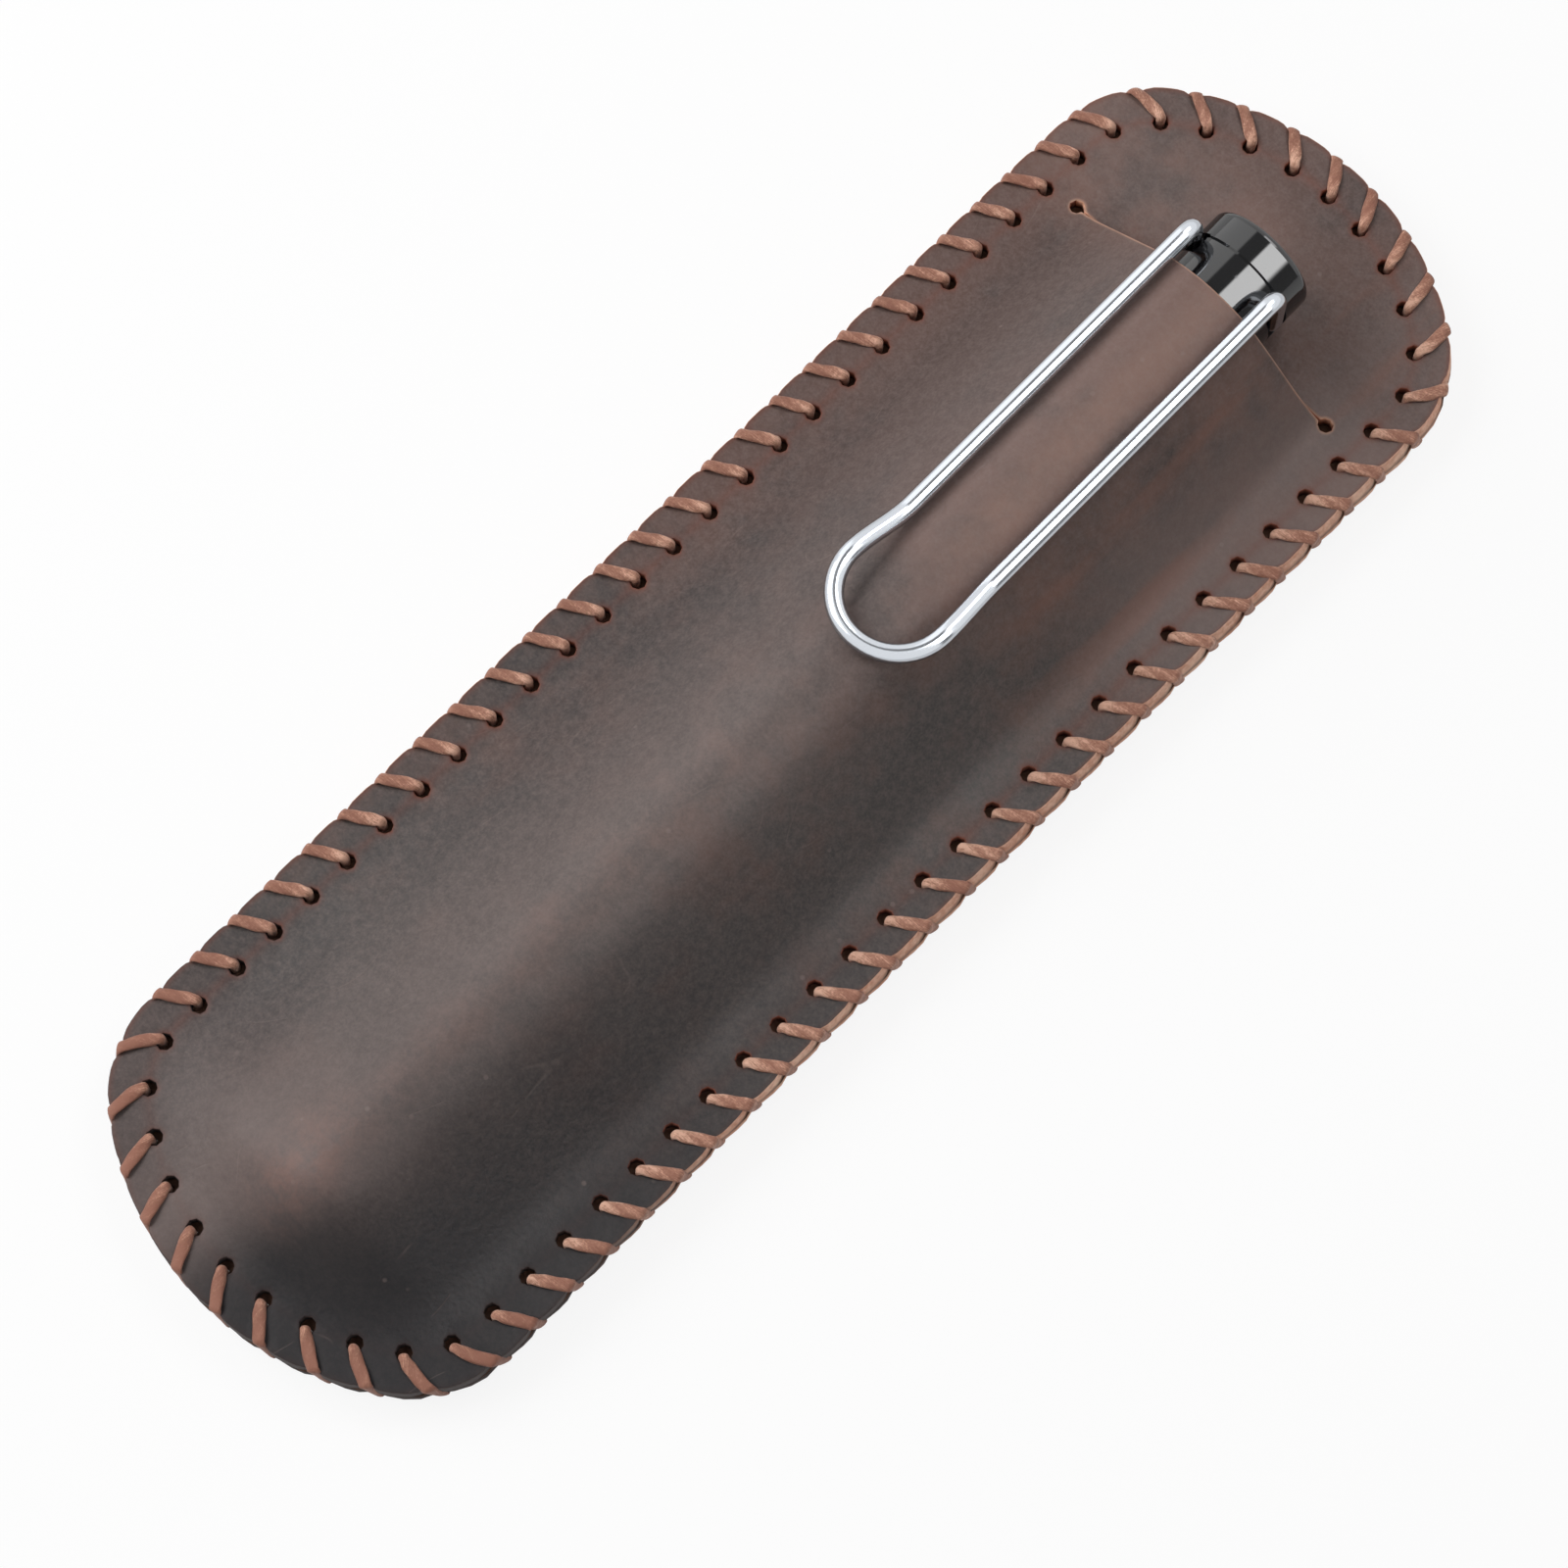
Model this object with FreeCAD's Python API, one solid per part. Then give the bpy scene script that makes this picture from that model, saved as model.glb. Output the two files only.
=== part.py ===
import FreeCAD, Part
import math
import os

V = FreeCAD.Vector

# Pen: lies a little off the centre line, tilted up towards the mouth
pen_length = 128.8
cap_length = 59.5
pen_x = 1.6
cap_radius = 5.9
cap_wall = 0.95
barrel_step = 0.25
barrel_end_radius = 4.6
barrel_end_round = 3.2
barrel_wall = 0.7
barrel_floor = 8.5
lip_gap = 0.3
seat_gap = 0.25
seam_clearance = 0.3
fit_gap = 0.1

# Sleeve outline: straight sides, each end three tangent arcs; its length follows the pen
sleeve_width = 47.6
corner_radius = 13.0
crown_rise = 3.5
cap_margin = 15.5

# Leather panels
leather = 1.6
rim_rise = 1.2
rim_width = 6.8
dish_slope = 4.0
dish_corner = 10.0
dish_top_margin = 27.3
dish_bottom_margin = 7.3

# Mouth: straight slit across the front panel, a round hole stops each end
mouth_depth = 21.9
slit_margin = 0.6
slit_kerf = 0.3
relief_radius = 0.75

# Bulge of the front panel over the pen, with a toe that falls to the seam past the barrel's end
mouth_bend = 5.0
bulge_bend = 7.0
bulge_inset = 4.8
bulge_widening = 24.0
bulge_cover = 8.0
bulge_run = 6.0
bulge_lead = 12.0
bulge_last_rise = 0.12
bulge_steps = 9
bulge_fall_power = 2.2
toe_inset = 6.0
toe_gap = 0.3
cut_margin = 2.0

# Stitching: one thread whipped over the edge through both panels
stitch_count = 74
stitch_phase_share = 0.75
hole_inset = 3.8
hole_clearance = 0.25
thread_radius = 0.5
thread_gap = 0.08
back_lag_share = 0.47
front_lag_share = 0.53
thread_end_gap = 0.6
thread_step = 0.25

# Cap head with the clip seats
head_length = 7.0
head_round = 0.7
groove_at = 3.5
groove_width = 0.3
groove_depth = 0.35
plug_length = 4.0

# Wire clip
wire_radius = 0.95
leg_x = 5.35
bow_x = 5.9
clip_gap = 0.25
pin_at = 4.7
pin_inner = 2.0
pin_gap = 0.2
pin_bend_inside = 0.35
shoulder_bend = 2.0
clip_end = 57.7
clip_tail = 7.5
kink_run = 5.5
kink_bend = 6.0

# Inside of the pen
liner_side = 0.55
liner_wall = 1.0
nib_room = 1.9
nib_reach = 20.5
nib_taper = 13.0
nib_seat = 8.5
nib_thickness = 0.3
nib_tip_half = 0.5
nib_half_width = 2.7
feed_radius = 2.55
feed_setback = 4.0
feed_tip_radius = 0.9
feed_taper = 14.0
liner_setback = 0.5
grip_front_step = 0.25
grip_front_round = 1.5
grip_flange = 2.5
flange_play = 0.35
feed_tail = 3.0
tenon_length = 9.2
neck_bore = 2.5
neck_play = 0.15
neck_hole = 1.2
neck_gap = 0.75
shoulder_gap = 0.65
ring_inset = 4.75
ring_radius = 0.45
ring_gap = 0.05
ring_play = 0.3
cartridge_play = 0.35
cartridge_wall = 0.5
cartridge_room = 9.0

sleeve_length = cap_margin + pen_length + bulge_run + toe_gap + toe_inset
end_depth = corner_radius + crown_rise
half_width = sleeve_width / 2
half_length = sleeve_length / 2
straight_half = half_length - end_depth
corner_x = half_width - corner_radius
crown_radius = (corner_x ** 2 + end_depth ** 2 - corner_radius ** 2) / (2 * crown_rise)
crown_y = half_length - crown_radius
crown_angle = math.atan2(corner_x, straight_half - crown_y)

slit_y = half_length - mouth_depth
rim_foot = half_width - rim_width
slit_half = rim_foot - slit_margin
bulge_foot = half_width - bulge_inset
dish_top = half_length - dish_top_margin
dish_bottom = dish_bottom_margin - half_length

seam_z = rim_rise + leather
rim_top = seam_z + leather
hole_radius = thread_radius + hole_clearance
thread_offset = thread_radius + thread_gap
edge_bend = thread_offset + thread_gap
thread_top = rim_top + thread_offset + thread_radius

cap_end_y = half_length - cap_margin
pen_end_y = cap_end_y - pen_length
lip_y = cap_end_y - cap_length
bulge_full_end = pen_end_y + bulge_cover
bulge_flat_end = pen_end_y - bulge_run

# The tilt lifts the cap clear of the top seam while the barrel's end stays just over the back panel
top_seam_y = half_length - hole_inset - hole_radius
axis_z_top = thread_top + seam_clearance + cap_radius
rest_y = pen_end_y + barrel_end_round
axis_z_rest = leather + seat_gap + barrel_end_radius
tilt = math.atan2(axis_z_top - axis_z_rest, top_seam_y - rest_y)
cap_bore = cap_radius - cap_wall
bulge_radius = cap_radius + lip_gap
plug_radius = cap_bore - fit_gap
plug_end = head_length + plug_length

barrel_mouth = cap_length + seat_gap
barrel_mouth_radius = cap_radius - barrel_step
barrel_bore = barrel_end_radius - barrel_wall
barrel_bore_end = pen_length - barrel_floor

liner_start = plug_end + fit_gap
nib_start = liner_start + liner_wall + nib_room
grip_start = nib_start + nib_reach
feed_bore = feed_radius + nib_thickness + 2 * fit_gap
feed_bore_end = grip_start + nib_seat + feed_tail
ring_at = barrel_mouth - ring_inset
ring_seat = cap_bore - ring_play - ring_radius
grip_radius = ring_seat - ring_gap
cartridge_radius = barrel_bore - cartridge_play
cartridge_end = barrel_bore_end - cartridge_room


def axis_z(y):
    return axis_z_rest + (y - rest_y) * math.tan(tilt)


def arc(a, b, c):
    return Part.Arc(a, b, c).toShape()


def line(a, b):
    return Part.makeLine(a, b)


def outline_segments(inset):
    """Lines (point, heading, length) and arcs (centre, radius, start, sweep), clockwise from above."""
    corner = corner_radius - inset
    crown = crown_radius - inset
    side = half_width - inset
    quarter = math.pi / 2
    parts = []
    for sign in (1, -1):
        parts.append(("line", V(-sign * side, -sign * straight_half, 0), sign * quarter, 2 * straight_half))
        turns = (
            (V(-sign * corner_x, sign * straight_half, 0), corner, quarter - crown_angle),
            (V(0, sign * crown_y, 0), crown, 2 * crown_angle),
            (V(sign * corner_x, sign * straight_half, 0), corner, quarter - crown_angle),
        )
        start = math.pi if sign > 0 else 0.0
        for centre, radius, sweep in turns:
            parts.append(("arc", centre, radius, start, sweep))
            start -= sweep
    return parts


def outline_wire(inset, z):
    edges = []
    for part in outline_segments(inset):
        if part[0] == "line":
            _, p, heading, length = part
            q = p + V(math.cos(heading), math.sin(heading), 0) * length
            edges.append(line(p + V(0, 0, z), q + V(0, 0, z)))
        else:
            _, c, r, start, sweep = part
            angles = (start, start - sweep / 2, start - sweep)
            edges.append(arc(*(c + V(r * math.cos(a), r * math.sin(a), z) for a in angles)))
    return Part.Wire(edges)


def seam_point(s):
    """Point on the hole line at arc length s, and the outward normal there."""
    for part in outline_segments(hole_inset):
        length = part[3] if part[0] == "line" else part[2] * part[4]
        if s <= length:
            break
        s -= length
    if part[0] == "line":
        _, p, heading, length = part
        return p + V(math.cos(heading), math.sin(heading), 0) * s, V(-math.sin(heading), math.cos(heading), 0)
    _, c, r, start, sweep = part
    a = start - s / r
    return c + V(math.cos(a), math.sin(a), 0) * r, V(math.cos(a), math.sin(a), 0)


seam_length = sum(p[3] if p[0] == "line" else p[2] * p[4] for p in outline_segments(hole_inset))
pitch = seam_length / stitch_count


def hole_s(i):
    return ((i + stitch_phase_share) * pitch) % seam_length


def prism(inset, low, high):
    return Part.Face(outline_wire(inset, low)).extrude(V(0, 0, high - low))


def cylinder(radius, base, direction, length):
    return Part.makeCylinder(radius, length, base, direction)


def stitch_holes(low, high):
    holes = []
    for i in range(stitch_count):
        p, _ = seam_point(hole_s(i))
        holes.append(cylinder(hole_radius, V(p.x, p.y, low), V(0, 0, 1), high - low))
    return Part.makeCompound(holes)


def dish_wire(inset, z):
    x = rim_foot - inset
    top = dish_top - inset
    bottom = dish_bottom + inset
    r = dish_corner - inset
    k = r * (1 - math.sqrt(0.5))
    corners = (
        (V(-x, top - r, z), V(-x + k, top - k, z), V(-x + r, top, z)),
        (V(x - r, top, z), V(x - k, top - k, z), V(x, top - r, z)),
        (V(x, bottom + r, z), V(x - k, bottom + k, z), V(x - r, bottom, z)),
        (V(-x + r, bottom, z), V(-x + k, bottom + k, z), V(-x, bottom + r, z)),
    )
    edges = []
    for i, corner in enumerate(corners):
        edges.append(arc(*corner))
        edges.append(line(corner[2], corners[(i + 1) % len(corners)][0]))
    return Part.Wire(edges)


def back_panel():
    plate = prism(0, 0, seam_z)
    foot = Part.makeLoft([dish_wire(dish_slope, 0), dish_wire(0, rim_rise)], True, True)
    under = prism(-cut_margin, 0, rim_rise).cut(foot)
    well = Part.makeLoft([dish_wire(dish_slope, leather), dish_wire(0, seam_z)], True, True)
    return plate.cut(under).cut(well).cut(stitch_holes(0, seam_z))


def flank(side, centre, radius, bend, base_x, base_z):
    """Straight flank tangent to the arc over the pen and to the bend at its foot."""
    foot = V(side * base_x, 0, base_z + bend)
    d = foot - centre
    turn = math.acos((radius + bend) / d.Length)
    angle = math.atan2(d.z, d.x) + side * turn
    n = V(math.cos(angle), 0, math.sin(angle))
    start = V(foot.x, 0, base_z)
    middle = foot - (n + V(0, 0, 1)).normalize() * bend
    return start, middle, foot - n * bend, centre + n * radius


def bulge_path(y, apex, base_x, inner_bend, thick):
    radius = bulge_radius + thick
    bend = inner_bend - thick
    base_z = seam_z + thick
    centre = V(pen_x, 0, apex - bulge_radius)
    reach = half_width + cut_margin
    left = flank(-1, centre, radius, bend, base_x, base_z)
    right = flank(1, centre, radius, bend, base_x, base_z)
    points = [V(-reach, 0, base_z), *left, centre + V(0, 0, radius), *reversed(right), V(reach, 0, base_z)]
    return [p + V(0, y, 0) for p in points]


def bulge_section(y, apex, base_x, inner_bend):
    inner = bulge_path(y, apex, base_x, inner_bend, 0)
    outer = bulge_path(y, apex, base_x, inner_bend, leather)
    edges = []
    for p in (inner, outer[::-1]):
        edges += [line(p[0], p[1]), arc(p[1], p[2], p[3]), line(p[3], p[4]), arc(p[4], p[5], p[6])]
        edges += [line(p[6], p[7]), arc(p[7], p[8], p[9]), line(p[9], p[10])]
        edges.append(line(p[10], outer[-1] if p is inner else inner[0]))
    return Part.Wire(edges)


def outline_half_at(y, inset):
    depth = abs(y) - straight_half
    corner = corner_radius - inset
    crown = crown_radius - inset
    if depth <= 0:
        return half_width - inset
    if depth <= corner * math.cos(crown_angle):
        return corner_x + math.sqrt(corner ** 2 - depth ** 2)
    return math.sqrt(crown ** 2 - (abs(y) - crown_y) ** 2)


def bulge_sections():
    """Rows (y, apex, foot, bend at the foot) from the slit to the toe; the foot spreads past the slit."""
    tail = axis_z(bulge_full_end) + barrel_end_radius + lip_gap
    tail += (barrel_mouth_radius - barrel_end_radius) * (rest_y - bulge_full_end) / (rest_y - lip_y)
    wide_y = slit_y - bulge_widening
    rows = [(slit_y, axis_z(slit_y) + bulge_radius, rim_foot, mouth_bend)]
    rows += [(y, axis_z(y) + bulge_radius, bulge_foot, bulge_bend) for y in (wide_y, lip_y)]
    lip_apex = axis_z(lip_y) + bulge_radius
    shoulder = tail + (lip_apex - tail) * bulge_lead / (lip_y - bulge_full_end)
    rows.append((bulge_full_end + bulge_lead, shoulder, bulge_foot, bulge_bend))
    rows.append((bulge_full_end + bulge_lead / 2, (shoulder + tail) / 2, bulge_foot, bulge_bend))
    rows.append((bulge_full_end, tail, bulge_foot, bulge_bend))
    for i in range(1, bulge_steps + 1):
        share = i / bulge_steps
        y = bulge_full_end + (bulge_flat_end - bulge_full_end) * share
        drop = 0.5 - 0.5 * math.cos(math.pi * share ** bulge_fall_power)
        apex = tail + (seam_z + bulge_last_rise - tail) * drop
        rows.append((y, apex, min(bulge_foot, outline_half_at(y, bulge_inset)), bulge_bend))
    return rows


def front_panel():
    rows = [bulge_section(*row) for row in bulge_sections()]
    shaft = [Part.makeLoft(list(pair), True, True) for pair in zip(rows[:3], rows[1:4])]
    toe = Part.makeLoft(rows[3:], True, False)
    bulge = toe.fuse(shaft)
    reach = half_width + cut_margin
    top = Part.makeBox(2 * reach, half_length + cut_margin - slit_y, leather, V(-reach, slit_y, seam_z))
    end_y = -half_length - cut_margin
    low = Part.makeBox(2 * reach, bulge_flat_end - end_y, leather, V(-reach, end_y, seam_z))
    ceiling = axis_z(cap_end_y) + bulge_radius + leather + cut_margin
    panel = bulge.fuse([top, low]).common(prism(0, seam_z, ceiling))
    floor = seam_z - cut_margin
    depth = ceiling - floor
    slit = Part.makeBox(2 * slit_half, slit_kerf, depth, V(-slit_half, slit_y - slit_kerf / 2, floor))
    for side in (-1, 1):
        slit = slit.fuse(cylinder(relief_radius, V(side * slit_half, slit_y, floor), V(0, 0, 1), depth))
    return panel.cut(slit).cut(stitch_holes(floor, ceiling)).removeSplitter()


def rounded_path(corners):
    """Tangent lines and arcs through the (point, bend radius) corners."""
    edges = []
    last = corners[0][0]
    for (a, _), (b, bend), (c, _) in zip(corners, corners[1:], corners[2:]):
        u = (b - a).normalize()
        w = (c - b).normalize()
        turn = u.getAngle(w)
        trim = bend * math.tan(turn / 2)
        p = b - u * trim
        q = b + w * trim
        inward = (w - u).normalize()
        middle = b + inward * (bend / math.cos(turn / 2) - bend)
        edges += [line(last, p), arc(p, middle, q)]
        last = q
    edges.append(line(last, corners[-1][0]))
    return edges


def tube(edges, radius):
    wire = Part.Wire(edges)
    first = edges[0]
    start = first.valueAt(first.FirstParameter)
    heading = first.tangentAt(first.FirstParameter)
    ring = Part.Wire(Part.makeCircle(radius, start, heading))
    return wire.makePipeShell([ring], True, False)


def thread_corners():
    high = rim_top + thread_offset
    low = rim_rise - thread_offset
    p, _ = seam_point(hole_s(0))
    middle = (high + low) / 2
    corners = [(V(p.x, p.y, middle - thread_end_gap / 2), 0)]
    for i in range(stitch_count):
        s = hole_s(i)
        p, _ = seam_point(s)
        if i:
            corners.append((V(p.x, p.y, high), hole_radius))
        corners.append((V(p.x, p.y, low), hole_radius))
        for share, z in ((back_lag_share, low), (front_lag_share, high)):
            q, n = seam_point((s + share * pitch) % seam_length)
            e = q + n * (hole_inset + thread_offset)
            corners.append((V(e.x, e.y, z), edge_bend))
    p, _ = seam_point(hole_s(0))
    corners.append((V(p.x, p.y, high), hole_radius))
    corners.append((V(p.x, p.y, middle + thread_end_gap / 2), 0))
    return corners


def thread_self_gap(edges):
    """Least gap between stretches over a stitch's height apart along it; the ends face in one hole."""
    points = []
    for edge in edges:
        count = max(2, math.ceil(edge.Length / thread_step))
        points += edge.discretize(count + 1)[1:]
    skip = math.ceil((rim_top - rim_rise + 2 * thread_offset) / thread_step)
    cells = {}
    for i, p in enumerate(points):
        cells.setdefault((round(p.x / pitch), round(p.y / pitch)), []).append(i)
    least = sleeve_length
    for (cx, cy), here in cells.items():
        near = [j for dx in (-1, 0, 1) for dy in (-1, 0, 1) for j in cells.get((cx + dx, cy + dy), ())]
        for i in here:
            far = (points[i].distanceToPoint(points[j]) for j in near if skip < j - i < len(points) - skip)
            least = min(least, min(far, default=least))
    return least - 2 * thread_radius


def stitching():
    edges = rounded_path(thread_corners())
    print("thread's least gap to itself %.2f" % thread_self_gap(edges))
    return tube(edges, thread_radius)


def place(shape):
    """Pen frame (Y along the pen, cap end at zero) into the sleeve's frame."""
    shape = shape.copy()
    shape.rotate(V(0, 0, 0), V(1, 0, 0), math.degrees(tilt))
    shape.translate(V(pen_x, cap_end_y, axis_z(cap_end_y)))
    return shape


def turned(edges):
    return Part.Face(Part.Wire(edges)).revolve(V(0, 0, 0), V(0, 1, 0), 360)


def turned_polygon(points):
    corners = [V(r, -u, 0) for r, u in points]
    return turned([line(a, b) for a, b in zip(corners, corners[1:] + corners[:1])])


def at(u):
    return V(0, -u, 0)


down_pen = V(0, -1, 0)


def cap_head():
    body = turned_polygon(
        (
            (0, 0), (cap_radius, 0), (cap_radius, groove_at), (cap_radius - groove_depth, groove_at),
            (cap_radius - groove_depth, groove_at + groove_width), (cap_radius, groove_at + groove_width),
            (cap_radius, head_length), (plug_radius, head_length), (plug_radius, plug_end), (0, plug_end),
        )
    )
    rim = [e for e in body.Edges if e.BoundBox.YMin > -fit_gap and e.Length > cap_radius]
    body = body.makeFillet(head_round, rim)
    pin_bore = wire_radius + pin_gap
    seat_inner = leg_x - pin_bore
    for side in (-1, 1):
        seat = Part.makeBox(
            cap_radius, 2 * pin_bore + pin_gap, 2 * cap_radius,
            V(seat_inner if side > 0 else -seat_inner - cap_radius, -pin_at - pin_bore, -pin_bore),
        )
        pin_hole = cylinder(pin_bore, V(0, -pin_at, 0), V(side, 0, 0), seat_inner + fit_gap)
        stop = cylinder(cap_radius, V(0, -pin_at, 0), V(side, 0, 0), pin_inner - pin_gap)
        body = body.cut([seat, pin_hole.cut(stop)])
    return place(body)


def cap_tube():
    outer = cylinder(cap_radius, at(head_length), down_pen, cap_length - head_length)
    return place(outer.cut(cylinder(cap_bore, at(head_length), down_pen, cap_length - head_length)))


def inner_cap():
    length = grip_start - liner_setback - liner_start
    outer = cylinder(plug_radius, at(liner_start), down_pen, length)
    bore = cylinder(plug_radius - liner_side, at(liner_start + liner_wall), down_pen, length)
    return place(outer.cut(bore))


def clip():
    leg_z = math.sqrt((bulge_radius + leather + wire_radius + clip_gap) ** 2 - leg_x ** 2)
    end_z = bulge_radius + leather + wire_radius + clip_gap
    turn_y = -(clip_end - wire_radius - bow_x)
    kink_end = clip_end - clip_tail
    kink_start = kink_end - kink_run
    half = [
        (V(pin_inner, -pin_at, 0), 0),
        (V(leg_x, -pin_at, 0), wire_radius + pin_bend_inside),
        (V(leg_x, -pin_at, leg_z), shoulder_bend),
        (V(leg_x, -kink_start, leg_z), kink_bend),
        (V(bow_x, -kink_end, end_z), kink_bend),
        (V(bow_x, turn_y, end_z), 0),
    ]
    right = rounded_path(half)
    left = rounded_path([(V(-p.x, p.y, p.z), bend) for p, bend in reversed(half)])
    tip = V(0, turn_y - bow_x, end_z)
    k = bow_x * math.sqrt(0.5)
    bow = [
        arc(V(bow_x, turn_y, end_z), V(k, turn_y - k, end_z), tip),
        arc(tip, V(-k, turn_y - k, end_z), V(-bow_x, turn_y, end_z)),
    ]
    return place(tube(right + bow + left, wire_radius))


def barrel():
    tip = at(pen_length)
    shoulder = V(barrel_end_radius, -pen_length + barrel_end_round, 0)
    toe = V(barrel_end_radius - barrel_end_round, -pen_length, 0)
    k = barrel_end_round * math.sqrt(0.5)
    middle = V(toe.x + k, shoulder.y - k, 0)
    corners = [V(barrel_bore, -barrel_mouth, 0), V(barrel_mouth_radius, -barrel_mouth, 0), shoulder]
    closing = [toe, tip, V(0, -barrel_bore_end, 0), V(barrel_bore, -barrel_bore_end, 0), corners[0]]
    edges = [line(a, b) for a, b in zip(corners, corners[1:])]
    edges.append(arc(shoulder, middle, toe))
    edges += [line(a, b) for a, b in zip(closing, closing[1:])]
    return place(turned(edges))


def grip_section():
    flange = barrel_mouth - grip_flange
    flange_radius = cap_bore - flange_play
    tenon_radius = barrel_bore - fit_gap
    tenon_end = barrel_mouth + tenon_length
    body = turned_polygon(
        (
            (feed_bore, grip_start), (grip_radius - grip_front_step, grip_start),
            (grip_radius, grip_start + grip_front_round), (grip_radius, flange), (flange_radius, flange),
            (flange_radius, barrel_mouth), (tenon_radius, barrel_mouth), (tenon_radius, tenon_end),
            (neck_bore, tenon_end), (neck_bore, barrel_mouth), (0, barrel_mouth), (0, feed_bore_end),
            (feed_bore, feed_bore_end),
        )
    )
    seat = Part.makeTorus(ring_seat, ring_radius + ring_gap, at(ring_at), V(0, 1, 0))
    return place(body.cut(seat))


def clutch_ring():
    return place(Part.makeTorus(ring_seat, ring_radius, at(ring_at), V(0, 1, 0)))


def feed():
    start = nib_start + feed_setback
    end = feed_bore_end - fit_gap
    return place(
        turned_polygon(
            (
                (0, start), (feed_tip_radius, start), (feed_radius, start + feed_taper), (feed_radius, end),
                (0, end),
            )
        )
    )


def nib():
    inner = feed_radius + fit_gap
    shoulder = nib_start + nib_taper
    end = grip_start + nib_seat
    shell = cylinder(inner + nib_thickness, at(nib_start), down_pen, end - nib_start)
    shell = shell.cut(cylinder(inner, at(nib_start), down_pen, end - nib_start))
    plan = [
        V(-nib_tip_half, -nib_start, 0), V(nib_tip_half, -nib_start, 0), V(nib_half_width, -shoulder, 0),
        V(nib_half_width, -end, 0), V(-nib_half_width, -end, 0), V(-nib_half_width, -shoulder, 0),
    ]
    blank = Part.Face(Part.makePolygon(plan + plan[:1])).extrude(V(0, 0, cap_radius))
    return place(shell.common(blank))


def cartridge():
    neck_start = barrel_mouth + neck_gap
    neck_end = barrel_mouth + tenon_length + shoulder_gap
    neck_radius = neck_bore - neck_play
    inner = cartridge_radius - cartridge_wall
    return place(
        turned_polygon(
            (
                (neck_hole, neck_start), (neck_radius, neck_start), (neck_radius, neck_end),
                (cartridge_radius, neck_end), (cartridge_radius, cartridge_end), (0, cartridge_end),
                (0, cartridge_end - cartridge_wall), (inner, cartridge_end - cartridge_wall),
                (inner, neck_end + cartridge_wall), (neck_hole, neck_end + cartridge_wall),
            )
        )
    )


nodes = {
    "back_panel": back_panel,
    "front_panel": front_panel,
    "stitching": stitching,
    "cap_head": cap_head,
    "cap_tube": cap_tube,
    "inner_cap": inner_cap,
    "clip": clip,
    "barrel": barrel,
    "grip_section": grip_section,
    "clutch_ring": clutch_ring,
    "feed": feed,
    "nib": nib,
    "cartridge": cartridge,
}

os.makedirs("parts", exist_ok=True)
for name, build in nodes.items():
    shape = build()
    if shape.ShapeType == "Compound" and len(shape.Solids) == 1:
        shape = shape.Solids[0]
    box = shape.BoundBox
    print(
        name, shape.ShapeType, "valid", shape.isValid(), "solids", len(shape.Solids),
        "volume %.1f" % shape.Volume,
        "x %.2f %.2f y %.2f %.2f z %.2f %.2f" % (box.XMin, box.XMax, box.YMin, box.YMax, box.ZMin, box.ZMax),
    )
    shape.exportStep("parts/%s.step" % name)
print("stitch pitch %.3f" % pitch)
pivot = V(pen_x, cap_end_y, axis_z(cap_end_y)) - V(0, math.cos(tilt), math.sin(tilt)) * pin_at
print("slide axis 0 %.6f %.6f" % (math.cos(tilt), math.sin(tilt)))
print("clip pivot %.4f %.4f %.4f" % (pivot.x, pivot.y, pivot.z))
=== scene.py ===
import math
import bmesh
import bpy
from mathutils import Matrix
from mathutils import Vector
from mathutils import noise


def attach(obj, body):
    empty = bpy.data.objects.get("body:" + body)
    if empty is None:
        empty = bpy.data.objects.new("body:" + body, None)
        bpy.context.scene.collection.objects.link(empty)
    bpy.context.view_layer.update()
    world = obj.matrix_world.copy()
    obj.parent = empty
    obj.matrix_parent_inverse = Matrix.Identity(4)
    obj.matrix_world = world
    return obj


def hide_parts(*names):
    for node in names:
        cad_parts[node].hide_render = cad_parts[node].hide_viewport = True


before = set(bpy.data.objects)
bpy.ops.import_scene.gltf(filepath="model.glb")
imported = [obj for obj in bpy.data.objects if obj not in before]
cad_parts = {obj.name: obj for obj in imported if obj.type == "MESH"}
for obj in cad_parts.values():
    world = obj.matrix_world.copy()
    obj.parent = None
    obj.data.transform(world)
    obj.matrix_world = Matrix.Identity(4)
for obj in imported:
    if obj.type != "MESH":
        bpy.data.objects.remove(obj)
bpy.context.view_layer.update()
mm = 0.001
print("frame loaded, nodes:", len(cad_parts))


def ink(red, green, blue):
    # screen colour 0..255 to the linear value that a socket takes
    def line(c):
        c = c / 255
        return c / 12.92 if c <= 0.04045 else ((c + 0.055) / 1.055) ** 2.4
    return (line(red), line(green), line(blue), 1.0)


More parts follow.
